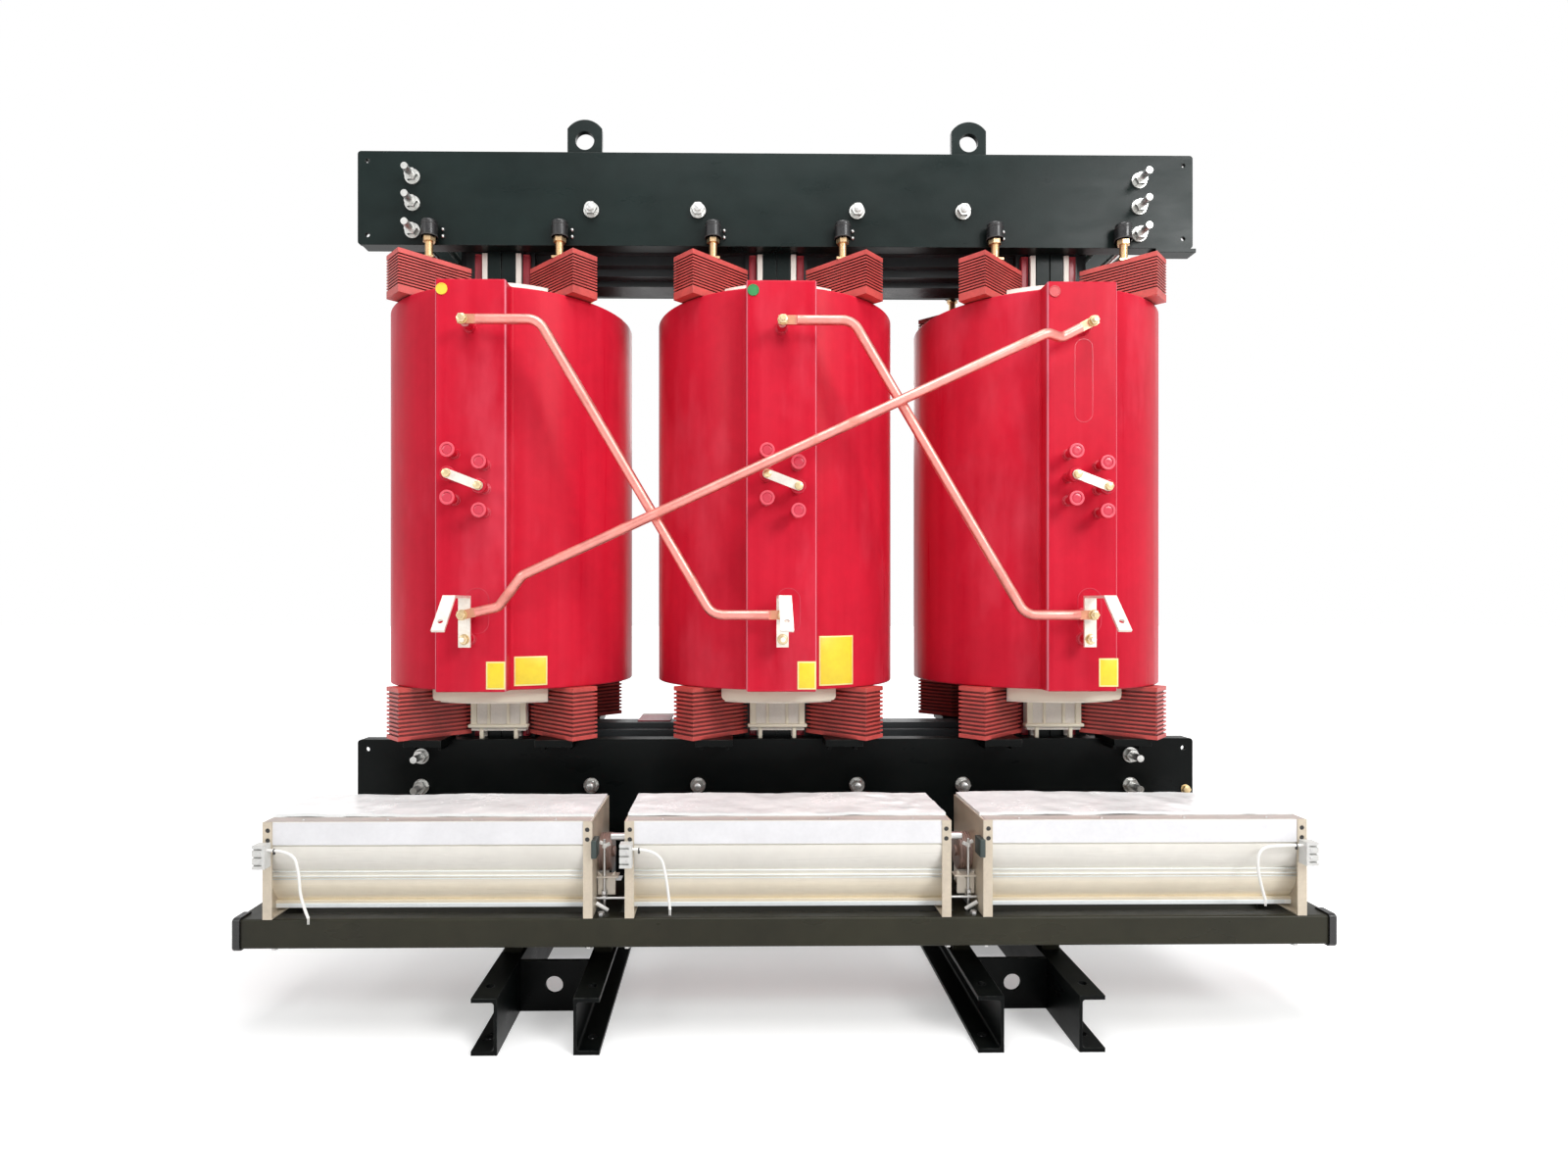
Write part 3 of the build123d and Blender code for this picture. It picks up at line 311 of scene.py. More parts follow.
def make_streaks():
    """Soft streaks along one axis, such as resin runs or drawing marks."""
    tree, given, end = new_group(
        "Streaks",
        [("Vector", "Vector", None), ("Stretch", "Vector", (60.0, 60.0, 1.5)), ("Contrast", "Float", 0.2)],
        [("Mask", "Float"), ("Height", "Float")],
    )
    raw = noise(tree, stretched(tree, given["Vector"], given["Stretch"]), 1.0)
    low = maths(tree, "SUBTRACT", 0.5, given["Contrast"])
    high = maths(tree, "ADD", 0.5, given["Contrast"])
    feed(end, Mask=remap(tree, raw, low, high), Height=raw)


def make_sheet_edges():
    """Fine lines of stacked sheets along Y, with a few sheets standing proud."""
    tree, given, end = new_group(
        "Sheet edges",
        [("Vector", "Vector", None), ("Pitch", "Float", 0.0012)],
        [("Mask", "Float"), ("Height", "Float")],
    )
    count = maths(tree, "DIVIDE", coordinate(tree, given["Vector"], "Y"), given["Pitch"])
    line = remap(tree, maths(tree, "PINGPONG", count, 0.5), 0.0, 0.16)
    inputs = {"W": maths(tree, "FLOOR", count)}
    sheet = add_node(tree, "ShaderNodeTexWhiteNoise", inputs, noise_dimensions="1D").outputs["Value"]
    feed(
        end,
        Mask=maths(tree, "MULTIPLY", line, maths(tree, "MULTIPLY_ADD", sheet, 0.6, 0.4)),
        Height=maths(tree, "MULTIPLY_ADD", sheet, 0.5, line),
    )


GROUPS = {
    "Mottle": make_mottle,
    "Edge wear": make_edge_wear_and_highlight,
    "Recess": make_recess,
    "Dust": make_dust,
    "Streaks": make_streaks,
    "Sheet edges": make_sheet_edges,
}


def use_group(tree, name, **inputs):
    """The results of a group placed in a material, underscores standing for spaces in its inputs."""
    inputs = {key.replace("_", " "): value for key, value in inputs.items()}
    return add_node(tree, "ShaderNodeGroup", inputs, node_tree=bpy.data.node_groups[name]).outputs


# Finishes

# The frame brings plain materials of the same names, so the new ones are found here
finishes = {}


def colours():
    """The user's colours."""
    return bpy.context.scene.transformer_colours


def new_material(name, colour, scale, spread):
    """A material of mottled colour: its tree, shader and Object coordinates, and the mottling's results."""
    made = bpy.data.materials.new(name)
    finishes[name] = made
    made.use_nodes = True
    tree = made.node_tree
    place = add_node(tree, "ShaderNodeTexCoord").outputs["Object"]
    base = use_group(tree, "Mottle", Vector=place, Colour=solid(colour), Scale=scale, Spread=spread)
    return tree, tree.nodes["Principled BSDF"], place, base


def bump(tree, shader, height, distance, strength, normal=None):
    """A Bump node that feeds the shader's normal."""
    inputs = {"Height": height, "Distance": distance, "Strength": strength}
    if normal is not None:
        inputs["Normal"] = normal
    feed(shader, Normal=add_node(tree, "ShaderNodeBump", inputs).outputs["Normal"])


def paint_material(name, colour, shine):
    """Glossy dark enamel with orange peel, light dust, rubbed edges and painted shade, near black, in its
    corners and recesses.
    """
    tree, shader, place, base = new_material(name, colour, 2.2, 0.3)
    wear_and_highlight = use_group(tree, "Edge wear", Vector=place, Width=0.0025, Breakup=45.0)
    dust = use_group(tree, "Dust", Vector=place, Scale=7.0, Amount=0.4)["Mask"]
    recess = use_group(tree, "Recess", Reach=0.12)["Mask"]
    rubbed = layer(tree, base["Colour"], wear_and_highlight["Mask"], 0.5, (0.13, 0.14, 0.13))
    dusty = layer(tree, rubbed, dust, 0.22, (0.12, 0.115, 0.09))
    # Painted shade: near black laid into corners, recesses and close gaps where the occlusion mask finds
    # them.
    shade_painted = layer(tree, dusty, recess, 0.8, (0.001, 0.0012, 0.0012))
    smear = noise(tree, stretched(tree, place, (5, 5, 14)), 1.0, 4.0)
    gloss = remap(tree, smear, 0.3, 0.7, 0.24, 0.4)
    feed(shader, Base_Color=shade_painted, Roughness=maths(tree, "ADD", gloss, maths(tree, "MULTIPLY", dust, 0.4)))
    shader.inputs["Specular IOR Level"].default_value = shine
    bump(tree, shader, noise(tree, place, 260.0, 2.0), 0.00035, 0.35, wear_and_highlight["Normal"])


def core_material():
    """Varnished edges of stacked core sheets."""
    tree, shader, place, base = new_material("core_steel", colours().core, 5.0, 0.4)
    sheets = use_group(tree, "Sheet edges", Vector=place, Pitch=0.0016)
    lit = layer(tree, base["Colour"], sheets["Mask"], 0.5, (0.045, 0.05, 0.052))
    feed(shader, Base_Color=lit, Roughness=remap(tree, base["Mask"], 0.0, 1.0, 0.3, 0.55))
    bump(tree, shader, sheets["Height"], 0.0004, 0.6)


def tab_highlight_mask(tree, place):
    """A mask of the thin painted highlight lines down both front edges of every tab."""
    across = coordinate(tree, place, "X")
    nearest = 10.0
    for x in tab_xs:
        off = maths(tree, "ABSOLUTE", maths(tree, "SUBTRACT", across, x))
        nearest = maths(tree, "MINIMUM", off, nearest)
    from_edge = maths(tree, "ABSOLUTE", maths(tree, "SUBTRACT", nearest, TAB_HALF - 0.0012))
    line = remap(tree, from_edge, 0.0006, 0.0022, 0.55, 0.0)
    front = remap(tree, coordinate(tree, place, "Y"), TAB_Y + 0.012, TAB_Y + 0.006)
    return maths(tree, "MULTIPLY", line, front)


def coil_material():
    """Cast crimson resin: a gloss skin over faint runs and shallow sink marks, with a painted sheen in pale
    clouds and painted highlights on its edges and down the tab edges.
    """
    tree, shader, place, base = new_material("coil_resin", colours().coil, 3.2, 0.13)
    runs = use_group(tree, "Streaks", Vector=place, Stretch=(26.0, 26.0, 1.1), Contrast=0.22)
    wear_and_highlight = use_group(tree, "Edge wear", Vector=place, Width=0.004, Breakup=18.0)
    run = layer(tree, base["Colour"], runs["Mask"], 0.16, (0.78, 0.07, 0.11))
    # Painted sheen: pale pink clouds laid into the colour for the soft mottled highlights on the gloss.
    sheen_noise = noise(tree, stretched(tree, place, (6.0, 6.0, 2.0)), 1.0, 4.0)
    sheen_mask = remap(tree, sheen_noise, 0.52, 0.76, 0.0, 0.4)
    sheened = blend_colours(tree, sheen_mask, run, (0.78, 0.11, 0.16, 1))
    # Painted highlight: pale pink on the edges, where the gloss catches the light.
    edge_highlighted = layer(tree, sheened, wear_and_highlight["Mask"], 0.6, (0.90, 0.30, 0.36))
    # Painted highlight: pale lines down the front edges of the tabs.
    highlighted = blend_colours(tree, tab_highlight_mask(tree, place), edge_highlighted, (0.88, 0.42, 0.52, 1))
    feed(shader, Base_Color=highlighted, Roughness=remap(tree, runs["Height"], 0.3, 0.7, 0.26, 0.44))
    shader.inputs["Specular IOR Level"].default_value = 0.07
    swell = noise(tree, stretched(tree, place, (7, 7, 2.5)), 1.0, 2.0)
    sinks = maths(tree, "MULTIPLY_ADD", runs["Height"], 0.25, swell)
    bump(tree, shader, sinks, 0.004, 0.35, wear_and_highlight["Normal"])


def block_material():
    """Pressed brick-red resin, satin, with speckle, a painted highlight on its ridges and painted shade in
    its grooves.
    """
    tree, shader, place, base = new_material("block_resin", colours().block, 14.0, 0.22)
    wear_and_highlight = use_group(tree, "Edge wear", Vector=place, Width=0.0022, Breakup=9.0)
    recess = use_group(tree, "Recess", Reach=0.012)["Mask"]
    # Painted highlight: pale red on the edges of the ribs.
    highlighted = layer(tree, base["Colour"], wear_and_highlight["Mask"], 0.4, (0.82, 0.32, 0.27))
    # Painted shade: near black in the grooves between the ribs.
    shade_painted = layer(tree, highlighted, recess, 0.85, (0.07, 0.008, 0.008))
    grain = noise(tree, place, 420.0)
    feed(shader, Base_Color=shade_painted, Roughness=remap(tree, grain, 0.3, 0.7, 0.34, 0.5))
    bump(tree, shader, grain, 0.0003, 0.4, wear_and_highlight["Normal"])


def winding_material():
    """Resin-soaked foil winding: upright weave bands and amber blotches."""
    tree, shader, place, base = new_material("inner_coil", colours().inner_coil, 9.0, 0.3)
    weave = use_group(tree, "Streaks", Vector=place, Stretch=(420.0, 420.0, 30.0), Contrast=0.15)
    dark = layer(tree, base["Colour"], weave["Mask"], 0.35, (0.20, 0.12, 0.06))
    feed(shader, Base_Color=dark, Roughness=remap(tree, base["Mask"], 0.0, 1.0, 0.3, 0.55))
    bump(tree, shader, weave["Height"], 0.0006, 0.5)


def plain_material(name, colour, scale, spread, rough, grain_scale, grain_height):
    """Mottled colour, uneven gloss and a fine grain: the tree, shader, coordinates and colour."""
    tree, shader, place, base = new_material(name, colour, scale, spread)
    grain = noise(tree, place, grain_scale)
    mixed = maths(tree, "MULTIPLY_ADD", grain, 0.4, maths(tree, "MULTIPLY", base["Mask"], 0.6))
    feed(shader, Base_Color=base["Colour"], Roughness=remap(tree, mixed, 0.25, 0.75, *rough))
    bump(tree, shader, grain, grain_height, 0.5)
    return tree, shader, place, base["Colour"]


def board_material():
    """Cream insulating board, greyer on the hubs below the trays."""
    made = plain_material("cream_board", colours().board, 18.0, 0.1, (0.45, 0.65), 300.0, 0.0005)
    tree, shader, place, cream = made
    hubs = remap(tree, coordinate(tree, place, "Z"), 0.692, 0.686)
    feed(shader, Base_Color=blend_colours(tree, hubs, cream, (0.72, 0.73, 0.74, 1), "MULTIPLY"))


def metal_material(name, colour, rough, stretch, stain, stain_amount, metallic=1.0):
    """Bare or plated metal, with drawing marks and stains: the tree, shader, coordinates and colour."""
    tree, shader, place, base = new_material(name, colour, 22.0, 0.16)
    marks = use_group(tree, "Streaks", Vector=place, Stretch=stretch, Contrast=0.2)
    patches = remap(tree, noise(tree, place, 16.0, 5.0), 0.5, 0.72, 0.0, stain_amount)
    dull = blend_colours(tree, patches, base["Colour"], solid(stain))
    gloss = maths(tree, "ADD", remap(tree, marks["Mask"], 0.0, 1.0, *rough), patches)
    feed(shader, Base_Color=dull, Roughness=gloss)
    shader.inputs["Metallic"].default_value = metallic
    bump(tree, shader, marks["Height"], 0.0002, 0.4)
    return tree, shader, place, dull


def heat_tint(tree, place, reach):
    """A mask that is 1 on the ends of the rods, near their studs."""
    nearest = 10.0
    for x in tab_xs:
        for z in (UPPER_STUD_Z, LOWER_STUD_Z):
            inputs = {0: place, 1: (x, rod_y, z)}
            away = add_node(tree, "ShaderNodeVectorMath", inputs, operation="DISTANCE").outputs["Value"]
            nearest = maths(tree, "MINIMUM", away, nearest)
    return remap(tree, nearest, reach, reach * 0.75)


def copper_material():
    """Bare copper rod, dulled pink, with a brown heat tint at the brazed ends."""
    drawn, stain = (40.0, 500.0, 500.0), (0.50, 0.20, 0.13)
    tree, shader, place, bare = metal_material("copper", colours().copper, (0.34, 0.48), drawn, stain, 0.3)
    burnt = remap(tree, noise(tree, place, 90.0), 0.2, 0.5, 0.6, 1.0)
    mask = maths(tree, "MULTIPLY", heat_tint(tree, place, 0.036), burnt)
    feed(shader, Base_Color=blend_colours(tree, mask, bare, (0.60, 0.29, 0.18, 1)))


def shell_material():
    """Off-white coated sheet with soft smears, warmer below its fold, and painted shade darkening its foot
    by the beam.
    """
    tree, shader, place, base = new_material("fan_shell", colours().fan_shell, 4.0, 0.07)
    smears = use_group(tree, "Streaks", Vector=place, Stretch=(1.6, 30.0, 30.0), Contrast=0.25)
    height = coordinate(tree, place, "Z")
    grey = layer(tree, base["Colour"], smears["Mask"], 0.18, (0.66, 0.61, 0.53))
    warm = blend_colours(tree, remap(tree, height, 0.37, 0.34), grey, (1.18, 1.10, 0.96, 1), "MULTIPLY")
    # Painted shade: the foot of the housing darkens where it meets the beam.
    shaded_foot = blend_colours(tree, remap(tree, height, 0.302, 0.288), warm, (0.72, 0.66, 0.58, 1), "MULTIPLY")
    feed(shader, Base_Color=shaded_foot, Roughness=remap(tree, smears["Height"], 0.3, 0.7, 0.2, 0.38))
    bump(tree, shader, noise(tree, place, 320.0, 2.0), 0.0002, 0.3)


def punched_material():
    """Plated sheet with rows of small round holes, painted as near-black dots: painted shade for the dark
    inside seen through them.
    """
    tree, shader, place, base = new_material("punched_sheet", colours().punched, 15.0, 0.15)
    inputs = {"Vector": place, "Scale": 160.0, "Randomness": 0.0}
    cells = add_node(tree, "ShaderNodeTexVoronoi", inputs, voronoi_dimensions="3D").outputs["Distance"]
    hole = remap(tree, cells, 0.28, 0.34, 1.0, 0.0)
    # Painted shade: the holes are not cut, only painted near black.
    pierced = blend_colours(tree, hole, base["Colour"], (0.02, 0.02, 0.02, 1))
    feed(shader, Base_Color=pierced, Roughness=remap(tree, base["Mask"], 0.0, 1.0, 0.35, 0.55))
    bump(tree, shader, maths(tree, "SUBTRACT", 1.0, hole), 0.0006, 0.6)


def make_materials():
    """Every finish, named as its slot."""
    pick = colours()
    # The dark paint comes in three copies: plain, with a painted warm reflection for the fan frames, and
    # darkened with painted shade for the steel low down.
    paint_material("dark_paint", pick.dark_paint, 0.14)
    paint_material("warm_lit_paint", pick.warm_lit_paint, 0.2)
    paint_material("shaded_paint", pick.shaded_paint, 0.08)
    core_material()
    coil_material()
    block_material()
    winding_material()
    board_material()
    shell_material()
    punched_material()
    copper_material()
    drawn, rolled = (4.0, 300.0, 300.0), (200.0, 60.0, 200.0)
    metal_material("tinned_copper", pick.tin, (0.3, 0.46), drawn, (0.50, 0.42, 0.34), 0.3, 0.45)
    metal_material("galvanised", pick.zinc, (0.22, 0.4), rolled, (0.30, 0.29, 0.26), 0.3)
    metal_material("brass_stud", pick.brass, (0.2, 0.36), (200.0, 200.0, 30.0), (0.30, 0.18, 0.07), 0.3)
    metal_material("yellow_zinc", pick.yellow_zinc, (0.26, 0.42), drawn, (0.34, 0.22, 0.10), 0.35)
    end_plate = plain_material("fan_plate", pick.fan_plate, 20.0, 0.14, (0.34, 0.5), 240.0, 0.0002)[1]
    end_plate.inputs["Metallic"].default_value = 0.35
    plain_material("black_cap", pick.rubber, 40.0, 0.2, (0.22, 0.4), 700.0, 0.0002)
    plain_material("motor_shell", pick.motor, 30.0, 0.2, (0.35, 0.55), 380.0, 0.0004)
    plain_material("connector_shell", pick.nylon, 60.0, 0.1, (0.3, 0.45), 900.0, 0.0001)
    plain_material("cord_sheath", pick.sheath, 50.0, 0.06, (0.35, 0.5), 800.0, 0.0001)
    plain_material("white_board", pick.white_board, 14.0, 0.06, (0.5, 0.7), 500.0, 0.0002)
    plain_material("red_board", pick.red_board, 14.0, 0.2, (0.3, 0.5), 260.0, 0.0003)
    plain_material("disc_yellow", pick.disc_a, 60.0, 0.06, (0.25, 0.4), 900.0, 0.0001)
    plain_material("disc_green", pick.disc_b, 60.0, 0.1, (0.25, 0.4), 900.0, 0.0001)
    plain_material("disc_red", pick.disc_c, 60.0, 0.1, (0.25, 0.4), 900.0, 0.0001)
    plain_material("yellow_plate", pick.plate, 40.0, 0.07, (0.3, 0.45), 700.0, 0.0001)
    plain_material("plate_rim", pick.plate_rim, 40.0, 0.05, (0.3, 0.45), 700.0, 0.0001)
    plain_material("tap_rim_highlight", pick.tap_rim_highlight, 60.0, 0.08, (0.3, 0.45), 500.0, 0.0001)
    plain_material("film", pick.film, 9.0, 0.05, (0.14, 0.3), 60.0, 0.0004)
    plain_material("frosted_film", pick.frost, 12.0, 0.06, (0.3, 0.5), 90.0, 0.0003)


def finish_nodes():
    """Give every CAD node the finish of its slot; the fan frames take the paint's copy with a painted warm
    reflection, and the painted steel low down its copy darkened with painted shade.
    """
    in_shade = ("lower_clamp", "foot_rails", "rail_cross_plates", "clamp_saddles", "spacer_brackets")
    for entry in frame["record"]["subparts"]:
        name, finish = entry["node"], entry["material_slot"]
        if name.startswith("fan_frame"):
            finish = "warm_lit_paint"
        elif name.startswith(in_shade):
            finish = "shaded_paint"
        node = frame["nodes"][name]
        node.data.materials.clear()
        node.data.materials.append(finishes[finish])


# Shaping


def deselect():
    """Leave nothing selected."""
    bpy.ops.object.select_all(action="DESELECT")


def take(piece):
    """Make one piece the only one selected and active."""
    deselect()
    piece.select_set(True)
    bpy.context.view_layer.objects.active = piece


def settle():
    """Work the place, turn and size of what is selected into its mesh."""
    bpy.ops.object.transform_apply(location=True, rotation=True, scale=True)


def copy_of(piece):
    """A copy of a piece, with its own mesh."""
    take(piece)
    bpy.ops.object.duplicate()
    return bpy.context.object


def select_whole():
    """Enter edit mode with all of the active piece selected."""
    bpy.ops.object.mode_set(mode="EDIT")
    bpy.ops.mesh.select_all(action="SELECT")


def leave():
    """Go back to object mode."""
    bpy.ops.object.mode_set(mode="OBJECT")


def done(piece, name, slot, finish=None, smooth=None):
    """Name a piece, give it the material of its finish, falling back to its slot's material, and let it ride
    on the frame.
    """
    take(piece)
    settle()
    select_whole()
    bpy.ops.mesh.normals_make_consistent(inside=False)
    leave()
    if smooth is not None:
        bpy.ops.object.shade_smooth_by_angle(angle=radians(smooth))
    piece.name = name
    piece.data.name = name
    piece.data.materials.clear()
    piece.data.materials.append(bpy.data.materials[finish or slot])
    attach(piece, BODY)


def pick_out(piece, kind, test):
    """Enter edit mode with the corners, edges or faces selected whose middles pass a test."""
    take(piece)
    bpy.ops.object.mode_set(mode="EDIT")
    bpy.ops.mesh.select_mode(type=kind)
    bpy.ops.mesh.select_all(action="DESELECT")
    leave()
    mesh = piece.data
    if kind == "VERT":
        for corner in mesh.vertices:
            corner.select = test(corner.co)
    elif kind == "EDGE":
        for edge in mesh.edges:
            a, b = (mesh.vertices[i].co for i in edge.vertices)
            edge.select = test((a + b) / 2, (b - a).normalized())
    else:
        for face in mesh.polygons:
            face.select = test(face.center, face.normal)
    bpy.ops.object.mode_set(mode="EDIT")


def turn_piece(piece, x=0.0, y=0.0, z=0.0, to=(0, 0, 0)):
    """Turn a piece about the origin, then move it, and keep both in its mesh."""
    take(piece)
    piece.rotation_euler = (x, y, z)
    piece.location = to
    settle()
    return piece


def join(pieces):
    """Several pieces made one."""
    deselect()
    for piece in pieces:
        piece.select_set(True)
    bpy.context.view_layer.objects.active = pieces[0]
    if len(pieces) > 1:
        bpy.ops.object.join()
    return bpy.context.object


def repeat(piece, places):
    """Copies of a piece, each moved and turned about Z, joined into one."""
    copies = [turn_piece(copy_of(piece), z=turn, to=place) for place, turn in places]
    bpy.data.objects.remove(piece)
    return join(copies)


def both_sides(points):
    """Places on the front, and the same places turned to the rear."""
    fronts = [(point, 0) for point in points]
    rears = [((x, -y, z), pi) for x, y, z in points]
    return fronts + rears


def with_mirror(piece):
    """A piece and its mirror image across the middle of the transformer, joined."""
    copy = copy_of(piece)
    copy.scale.x = -1
    settle()
    select_whole()
    bpy.ops.mesh.flip_normals()
    leave()
    return join([piece, copy])


def brick(low, high):
    """A cube primitive stretched between two corners, a start for shaping."""
    deselect()
    low, high = Vector(low), Vector(high)
    bpy.ops.mesh.primitive_cube_add(size=1, location=(low + high) / 2)
    piece = bpy.context.object
    piece.scale = high - low
    settle()
    return piece


def round_edges(piece, width, segments=2, test=lambda middle, way: True):
    """Bevel the edges that pass a test."""
    pick_out(piece, "EDGE", test)
    bpy.ops.mesh.bevel(offset=width, offset_type="OFFSET", segments=segments, affect="EDGES")
    leave()


def board(low, high, edge=0.0015, segments=2):
    """A plate with rounded edges."""
    piece = brick(low, high)
    round_edges(piece, edge, segments)
    return piece


def apply_modifier(piece, kind, **settings):
    """A modifier added with its settings and applied."""
    take(piece)
    made = piece.modifiers.new(kind.lower(), kind)
    for name, value in settings.items():
        setattr(made, name, value)
    bpy.ops.object.modifier_apply(modifier=made.name)


def bend(piece, angle):
    """Cut a straight board into short lengths along X and bend it about Z."""
    pick_out(piece, "EDGE", lambda at, way: abs(way.x) > 0.9)
    bpy.ops.mesh.subdivide(number_cuts=12)
    leave()
    apply_modifier(piece, "SIMPLE_DEFORM", deform_method="BEND", deform_axis="Z", angle=angle)


def turned(rings, sides=24):
    """A turned piece about the Y axis, grown ring by ring from (radius, y) pairs."""
    deselect()
    radius, y = rings[0]
    bpy.ops.mesh.primitive_circle_add(
        vertices=sides, radius=radius, fill_type="NGON", location=(0, y, 0), rotation=(pi / 2, 0, 0)
    )
    piece = bpy.context.object
    settle()
    select_whole()
    for next_radius, next_y in rings[1:]:
        bpy.ops.mesh.extrude_region_move(TRANSFORM_OT_translate={"value": (0, next_y - y, 0)})
        grow = next_radius / radius
        bpy.ops.transform.resize(value=(grow, 1, grow), center_override=(0, next_y, 0))
        radius, y = next_radius, next_y
    leave()
    return piece


def hex_head(across, y_from, y_to):
    """A hexagon head or nut along Y, its corners trimmed at the far end."""
    corner = across / sqrt(3)
    trim = across * 0.07
    step = trim * 0.6 if y_to > y_from else -trim * 0.6
    return turn_piece(turned([(corner, y_from), (corner, y_to - step), (corner - trim, y_to)], 6), y=pi / 6)


def washer(radius, y_from, thickness):
    """A washer that faces the front, with a softened rim."""
    rim = y_from - thickness
    return turned([(radius, y_from), (radius, rim + 0.0005), (radius - 0.0005, rim)], 28)


def thread(crest, root, y_from, y_to, pitch):
    """Ridges of a thread along Y, closed at both ends."""
    count = int(abs(y_to - y_from) / pitch)
    step = (y_to - y_from) / count
    rings = [(root, y_from)]
    for turn in range(count):
        rings.append((crest, y_from + step * (turn + 0.5)))
        rings.append((root, y_from + step * (turn + 1)))
    return turned(rings, 18)


def tube(radius, start, end, sides):
    """A bar along Y with rounded ends."""
    rim = min(radius * 0.2, 0.0015)
    rings = [(radius - rim, start), (radius, start + rim), (radius, end - rim), (radius - rim, end)]
    return turned(rings, sides)


def tube_along_x(radius, x_from, x_to, y, z, sides=20):
    """A rounded bar along X."""
    return turn_piece(tube(radius, x_from, x_to, sides), z=-pi / 2, to=(0, y, z))


def tube_along_z(radius, x, y, z_from, z_to, sides=16):
    """A rounded bar along Z."""
    return turn_piece(tube(radius, z_from, z_to, sides), x=pi / 2, to=(x, y, 0))


def upright(piece, x=0.0, y=0.0):
    """A piece made along Y, turned to stand along Z at a place."""
    return turn_piece(piece, x=pi / 2, to=(x, y, 0))


def flat_disc(radius, x, y, z):
    """A flat disc that faces the front, a start for rings and outlines."""
    deselect()
    bpy.ops.mesh.primitive_circle_add(vertices=32, radius=radius, fill_type="NGON")
    return turn_piece(bpy.context.object, x=pi / 2, to=(x, y, z))


def hollow_and_deepen(piece, line, depth):
    """Leave only the border of a flat piece and extrude it along Y."""
    pick_out(piece, "FACE", lambda at, normal: True)
    bpy.ops.mesh.inset(thickness=line)
    bpy.ops.mesh.delete(type="FACE")
    bpy.ops.mesh.select_all(action="SELECT")
    bpy.ops.mesh.extrude_region_move(TRANSFORM_OT_translate={"value": (0, depth, 0)})
    leave()


# Cords

CORD_ROUTES = {
    "a": ((-1.104, 0.428), (-1.050, 0.428), (-1.037, 0.376), (-1.035, 0.326), (-1.018, 0.284)),
    "b": ((-0.333, 0.428), (-0.276, 0.428), (-0.259, 0.364), (-0.253, 0.300)),
    "c": ((1.104, 0.432), (1.056, 0.432), (1.007, 0.426), (1.006, 0.369), (1.023, 0.315)),
}
CORD_Y = -0.638


def make_cord(phase, diameter):
    """One pigtail: a smooth tube on its route's points."""
    points = [(x, CORD_Y, z) for x, z in CORD_ROUTES[phase]]
    curve = bpy.data.curves.new("pigtail_" + phase, "CURVE")
    curve.dimensions = "3D"
    spline = curve.splines.new("NURBS")
    spline.points.add(len(points) - 1)
    for place, point in zip(spline.points, points):
        place.co = (*point, 1)
    spline.order_u = 3
    spline.use_endpoint_u = True
    spline.resolution_u = 24
    curve.bevel_depth = diameter / 2
    curve.bevel_resolution = 5
    curve.use_fill_caps = True
    cord = bpy.data.objects.new("pigtail_" + phase, curve)
    bpy.context.scene.collection.objects.link(cord)
    cord.data.materials.append(bpy.data.materials["cord_sheath"])
    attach(cord, BODY)
    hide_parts("fan_cord_" + phase)


# Boards of the core


def make_limb_boards():
    """White edge strips and red channels that line both faces of every limb."""
    low, high = lower_clamp_high.z + 0.001, upper_clamp_high.z - 0.252
    white = board((0.0385, -0.147, low), (0.053, -0.1381, high))
    red = board((0.056, -0.1379, low), (0.075, -0.1231, high), 0.001)
    pick_out(red, "FACE", lambda at, way: way.y < -0.9)
    bpy.ops.mesh.inset(thickness=0.003)
    bpy.ops.transform.translate(value=(0, 0.004, 0))
    leave()
    for piece, name, finish in ((white, "limb_strips", "white_board"), (red, "limb_channels", "red_board")):
        done(repeat(with_mirror(piece), both_sides(at_limbs)), name, "cream_board", finish)


# Marks and plates on the coils


def make_phase_discs():
    """A small dished disc in the phase colour at the top of each tab."""
    y = TAB_Y + 0.0003
    rim = [(0.0142, y), (0.0145, y - 0.0016), (0.0138, y - 0.0026)]
    dish = [(0.0122, y - 0.0026), (0.0116, y - 0.0019)]
    for x, finish in zip(tab_xs, ("disc_yellow", "disc_green", "disc_red")):
        disc = turn_piece(turned(rim + dish, 40), to=(x - 0.0695, 0, 1.7195))
        done(disc, finish, "connector_shell", finish, 40)


def bare_plate(x, z, width, height, angle=0.0):
    """A bare plate and its pale rim, flat on a tab or, at an angle, bent round a coil."""
    pieces = []
    for inset, front in ((0.0, 0.0010), (0.0035, 0.0014)):
        half_width, half_height = width / 2 - inset, height / 2 - inset
        piece = board((-half_width, -front, -half_height), (half_width, 0.0002, half_height), 0.0004)
        if angle:
            bend(piece, 2 * half_width / coil_r)
            turn_piece(piece, to=(0, -coil_r, 0))
            turn_piece(piece, z=angle, to=(x, 0, z))
        else:
            turn_piece(piece, to=(x, TAB_Y, z))
        pieces.append(piece)
    return pieces


def make_plates():
    """Five bare yellow plates low on the coils, three on the tabs and two on the round."""
    plates = [
        bare_plate(limb_xs[0] + 0.0505, 0.774, 0.047, 0.068),
        bare_plate(limb_xs[1] + 0.062, 0.7735, 0.046, 0.069),
        bare_plate(limb_xs[2] + 0.057, 0.780, 0.048, 0.070),
        bare_plate(limb_xs[0], 0.780, 0.082, 0.074, radians(21.2)),
        bare_plate(limb_xs[1], 0.805, 0.102, 0.126, radians(25.8)),
    ]
    done(join([plate[0] for plate in plates]), "plate_rims", "connector_shell", "plate_rim", 40)
    done(join([plate[1] for plate in plates]), "plate_fields", "connector_shell", "yellow_plate", 40)


